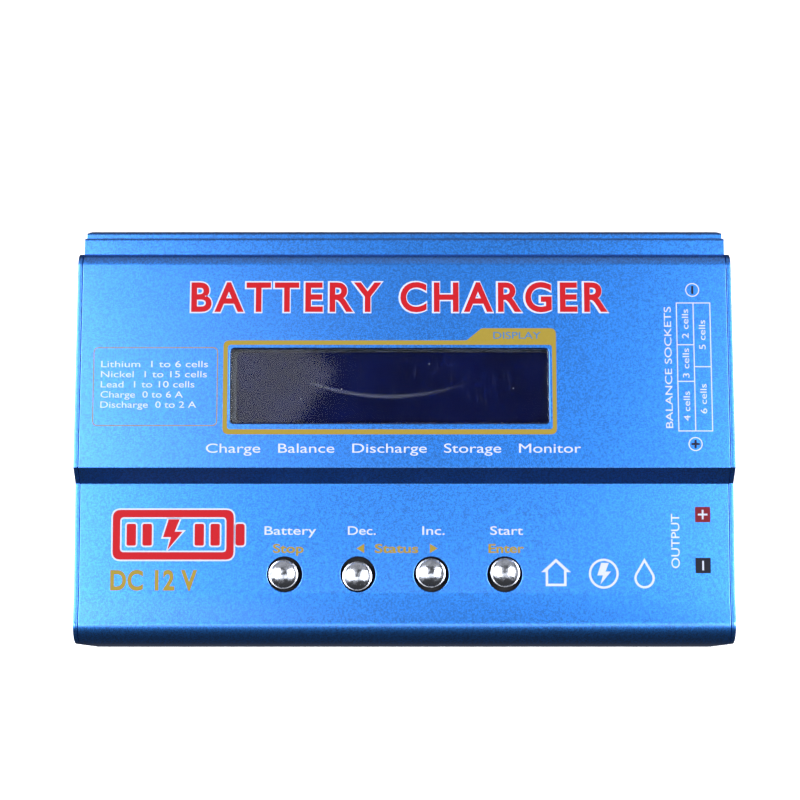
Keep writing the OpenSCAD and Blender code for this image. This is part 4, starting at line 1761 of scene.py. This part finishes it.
    def emblem(self, face: Matrix) -> None:
        """Prints a battery with a bolt, red on a white edge.

        Args:
            face: The keypad face's matrix.
        """
        left, right, low, high = -58.8, -34.4, -26.6, -16.6
        middle, edge, wall = (low + high) / 2, 0.3, 1.5
        body = block(left, right, low, high, 1.6)
        hole = block(left + wall, right - wall, low + wall, high - wall, 0.8)
        nub = block(right + 0.35, right + 2.2, middle - 2.2, middle + 2.2, 0.6)
        bolt = self.bolt((left + right) / 2 - 0.2, middle, 6.2)
        foot, head = low + wall + 1.3, high - wall - 1.3
        bars = [block(x, x + 1.9, foot, head, 0.4) for x in (left + 2.8, left + 6.0)]
        bars += [block(x - 1.9, x, foot, head, 0.4) for x in (right - 2.8, right - 6.0)]
        white = self.sheet("print_emblem_edge", face, "white", Slot.WHITE)
        red = self.sheet("print_emblem", face, "red", Slot.RED, 2)
        white.shape(grown(body, edge), grown(hole, -edge)[::-1])
        red.shape(body, hole[::-1])
        for filled in [nub, bolt, *bars]:
            white.shape(grown(filled, edge))
            red.shape(filled)

    def symbols(self, white: Sheet) -> None:
        """Prints three plain pictograms: a house, a bolt in a ring and a drop.

        Args:
            white: The white sheet.
        """
        y, line = -29.4, 0.45
        house = [(-2.1, -2.5), (2.1, -2.5), (2.1, 0.3), (3.0, 0.3), (0, 3.0), (-3.0, 0.3), (-2.1, 0.3)]
        walls = [(30.5 + u, y + v) for u, v in house]
        inner = [(30.5 + u, y + v) for u, v in [(-1.6, -2.0), (1.6, -2.0), (1.6, 0.75), (0, 2.3), (-1.6, 0.75)]]
        white.shape(walls, inner[::-1])
        white.shape(disc(40.1, y, 3.0), disc(40.1, y, 3.0 - line)[::-1])
        white.shape(self.bolt(40.1, y, 4.3))
        white.shape(self.drop(48.3, y, 2.05), self.drop(48.3, y, 2.05 - line)[::-1])

    @staticmethod
    def drop(x: float, y: float, radius: float) -> Loop:
        """Outline of a drop, its round end down.

        Args:
            x: Its middle.
            y: Its middle.
            radius: Radius of the round end.

        Returns:
            The outline, anticlockwise.
        """
        points = arc((x, y - 0.9), radius, -205, 25, 24)
        return points + [(x, y - 0.9 + radius * 1.95)]

    def plate_labels(self) -> None:
        """Prints the cell numbers and signs on the output plate, and two words on the input plate."""
        out = self.sheet("print_output_plate", self.plate_face(1), "white", Slot.WHITE)
        for cells in range(2, 7):
            low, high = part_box(f"balance_socket_{cells}s")
            middle = (low.y + high.y) / 2 / MM
            base = high.z / MM + 1.0 if cells < 5 else low.z / MM - 2.9
            out.words(str(cells), middle - 0.6, middle + 0.6, base, 1.9, 0.012)
        for pole, sign in (("positive", True), ("negative", False)):
            low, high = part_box(f"output_socket_{pole}")
            y, z = (low.y + high.y) / 2 / MM, high.z / MM + 2.2
            out.shape(self.plus(y, z, 1.1, 0.2) if sign else block(y - 1.1, y + 1.1, z - 0.2, z + 0.2))
        into = self.sheet("print_input_plate", self.plate_face(-1), "white", Slot.WHITE)
        jack = -(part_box("dc_jack_body")[0].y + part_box("dc_jack_body")[1].y) / 2 / MM
        into.words("DC IN", jack - 3.2, jack + 3.2, 13.0, 1.8, 0.012)
        port = -(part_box("temperature_port")[0].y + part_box("temperature_port")[1].y) / 2 / MM
        into.words("TEMP", port - 2.9, port + 2.9, 13.0, 1.8, 0.012)

    def build(self) -> None:
        """Prints every face and settles the sheets."""
        self.frame_and_title()
        self.keypad_labels()
        self.plate_labels()
        for sheet in self.sheets:
            self.settle(sheet.piece(self.palette), sheet.slot, paint=False)


# ---- Studio --------------------------------------------------------------


@dataclass(frozen=True)
class Softbox:
    """An area light.

    Attributes:
        name: Its name.
        place: Its middle, in metres.
        size: Its width and depth, in metres.
        power: Its power in watts.
        aim: The point that it faces.
    """

    name: str
    place: tuple[float, float, float]
    size: tuple[float, float]
    power: float
    aim: tuple[float, float, float] = (0.0, 0.0, 0.02)

    def hang(self) -> None:
        """Adds the light to the scene."""
        lamp = bpy.data.lights.new(self.name, "AREA")
        lamp.shape = "RECTANGLE"
        lamp.size, lamp.size_y = self.size
        lamp.energy = self.power
        holder = bpy.data.objects.new(self.name, lamp)
        holder.location = self.place
        holder.rotation_euler = (Vector(self.aim) - Vector(self.place)).to_track_quat("-Z", "Y").to_euler()
        bpy.context.scene.collection.objects.link(holder)


@dataclass
class Studio:
    """Camera, floor and light.

    Attributes:
        eye: The camera's place in metres.
        tilt: How far the camera leans back from straight down, in degrees.
        lens: Its focal length in millimetres on a 36 mm sensor.
        fill: Strength of the surroundings.
        boxes: The lights.
    """

    eye: tuple[float, float, float] = (-0.0009, -0.0516, 0.4220)
    tilt: float = 8.32
    lens: float = 87.75
    fill: float = 0.06
    boxes: tuple[Softbox, ...] = (
        Softbox("left_box", (-0.58, 0.0, 1.0), (0.80, 0.55), 15.0),
        Softbox("right_box", (0.62, -0.02, 1.0), (0.70, 0.50), 15.5),
        Softbox("rear_box", (0.0, 0.85, 0.60), (1.80, 1.10), 3.2),
        Softbox("front_box", (0.02, -0.32, 1.10), (0.70, 0.28), 1.3),
        Softbox("left_side", (-1.05, 0.0, 0.50), (0.80, 0.80), 4.5),
        Softbox("right_side", (1.05, 0.0, 0.42), (0.80, 0.40), 1.0),
        Softbox("window_card", (-0.185, 0.14, 1.15), (0.25, 0.15), 0.17),
    )

    def camera(self) -> None:
        """Adds the camera."""
        data = bpy.data.cameras.new("camera")
        data.lens = self.lens
        data.sensor_width = SENSOR
        data.clip_start, data.clip_end = 0.01, 20.0
        holder = bpy.data.objects.new("camera", data)
        holder.location = self.eye
        holder.rotation_euler = (math.radians(self.tilt), 0, 0)
        bpy.context.scene.collection.objects.link(holder)
        bpy.context.scene.camera = holder

    def floor(self) -> None:
        """Adds a pale floor just under the feet."""
        bm = bmesh.new()
        bmesh.ops.create_grid(bm, x_segments=1, y_segments=1, size=3.0,
                              matrix=Matrix.Translation((0, 0, -0.0001)))
        mesh = bpy.data.meshes.new("floor")
        bm.to_mesh(mesh)
        bm.free()
        graph = Graph("pale_floor")
        tone = graph.blend(graph.noise(30, 2), srgb(244, 244, 246), srgb(248, 248, 250))
        graph.surface({"Base Color": tone, "Roughness": 0.7, "Emission Color": tone, "Emission Strength": 0.55})
        mesh.materials.append(graph.material)
        floor = new_object("floor", mesh)
        floor.visible_glossy = False

    def surroundings(self) -> None:
        """Sets dim surroundings, which the camera itself sees as a pale backdrop."""
        world = bpy.data.worlds.new("studio")
        bpy.context.scene.world = world
        world.use_nodes = True
        tree = world.node_tree
        tree.nodes.clear()
        seen = add_node(tree, "ShaderNodeBackground", {}, {"Color": srgb(244, 244, 246)})
        light = add_node(tree, "ShaderNodeBackground", {}, {"Color": (1.0, 1.0, 1.0, 1.0), "Strength": self.fill})
        path = add_node(tree, "ShaderNodeLightPath")
        mix = add_node(tree, "ShaderNodeMixShader", {},
                       {0: path.outputs["Is Camera Ray"], 1: light.outputs[0], 2: seen.outputs[0]})
        add_node(tree, "ShaderNodeOutputWorld", {}, {0: mix.outputs[0]})

    def build(self) -> None:
        """Builds the studio."""
        self.camera()
        self.floor()
        self.surroundings()
        for box in self.boxes:
            box.hang()
        settings = bpy.context.scene.view_settings
        settings.view_transform = "Standard"
        settings.look = "None"


def main() -> None:
    """Builds the studio and every sub-assembly in order."""
    logging.basicConfig(level=logging.INFO, format="%(name)s: %(message)s")
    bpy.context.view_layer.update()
    Studio().build()
    palette, repeater = Palette(), Repeater()
    for kind in (Shell, Fasteners, Display, Keypad, Sockets, Electronics, Print):
        LOG.info("building %s", kind.__name__)
        kind(palette, repeater).build()


if __name__ == "__main__":
    main()
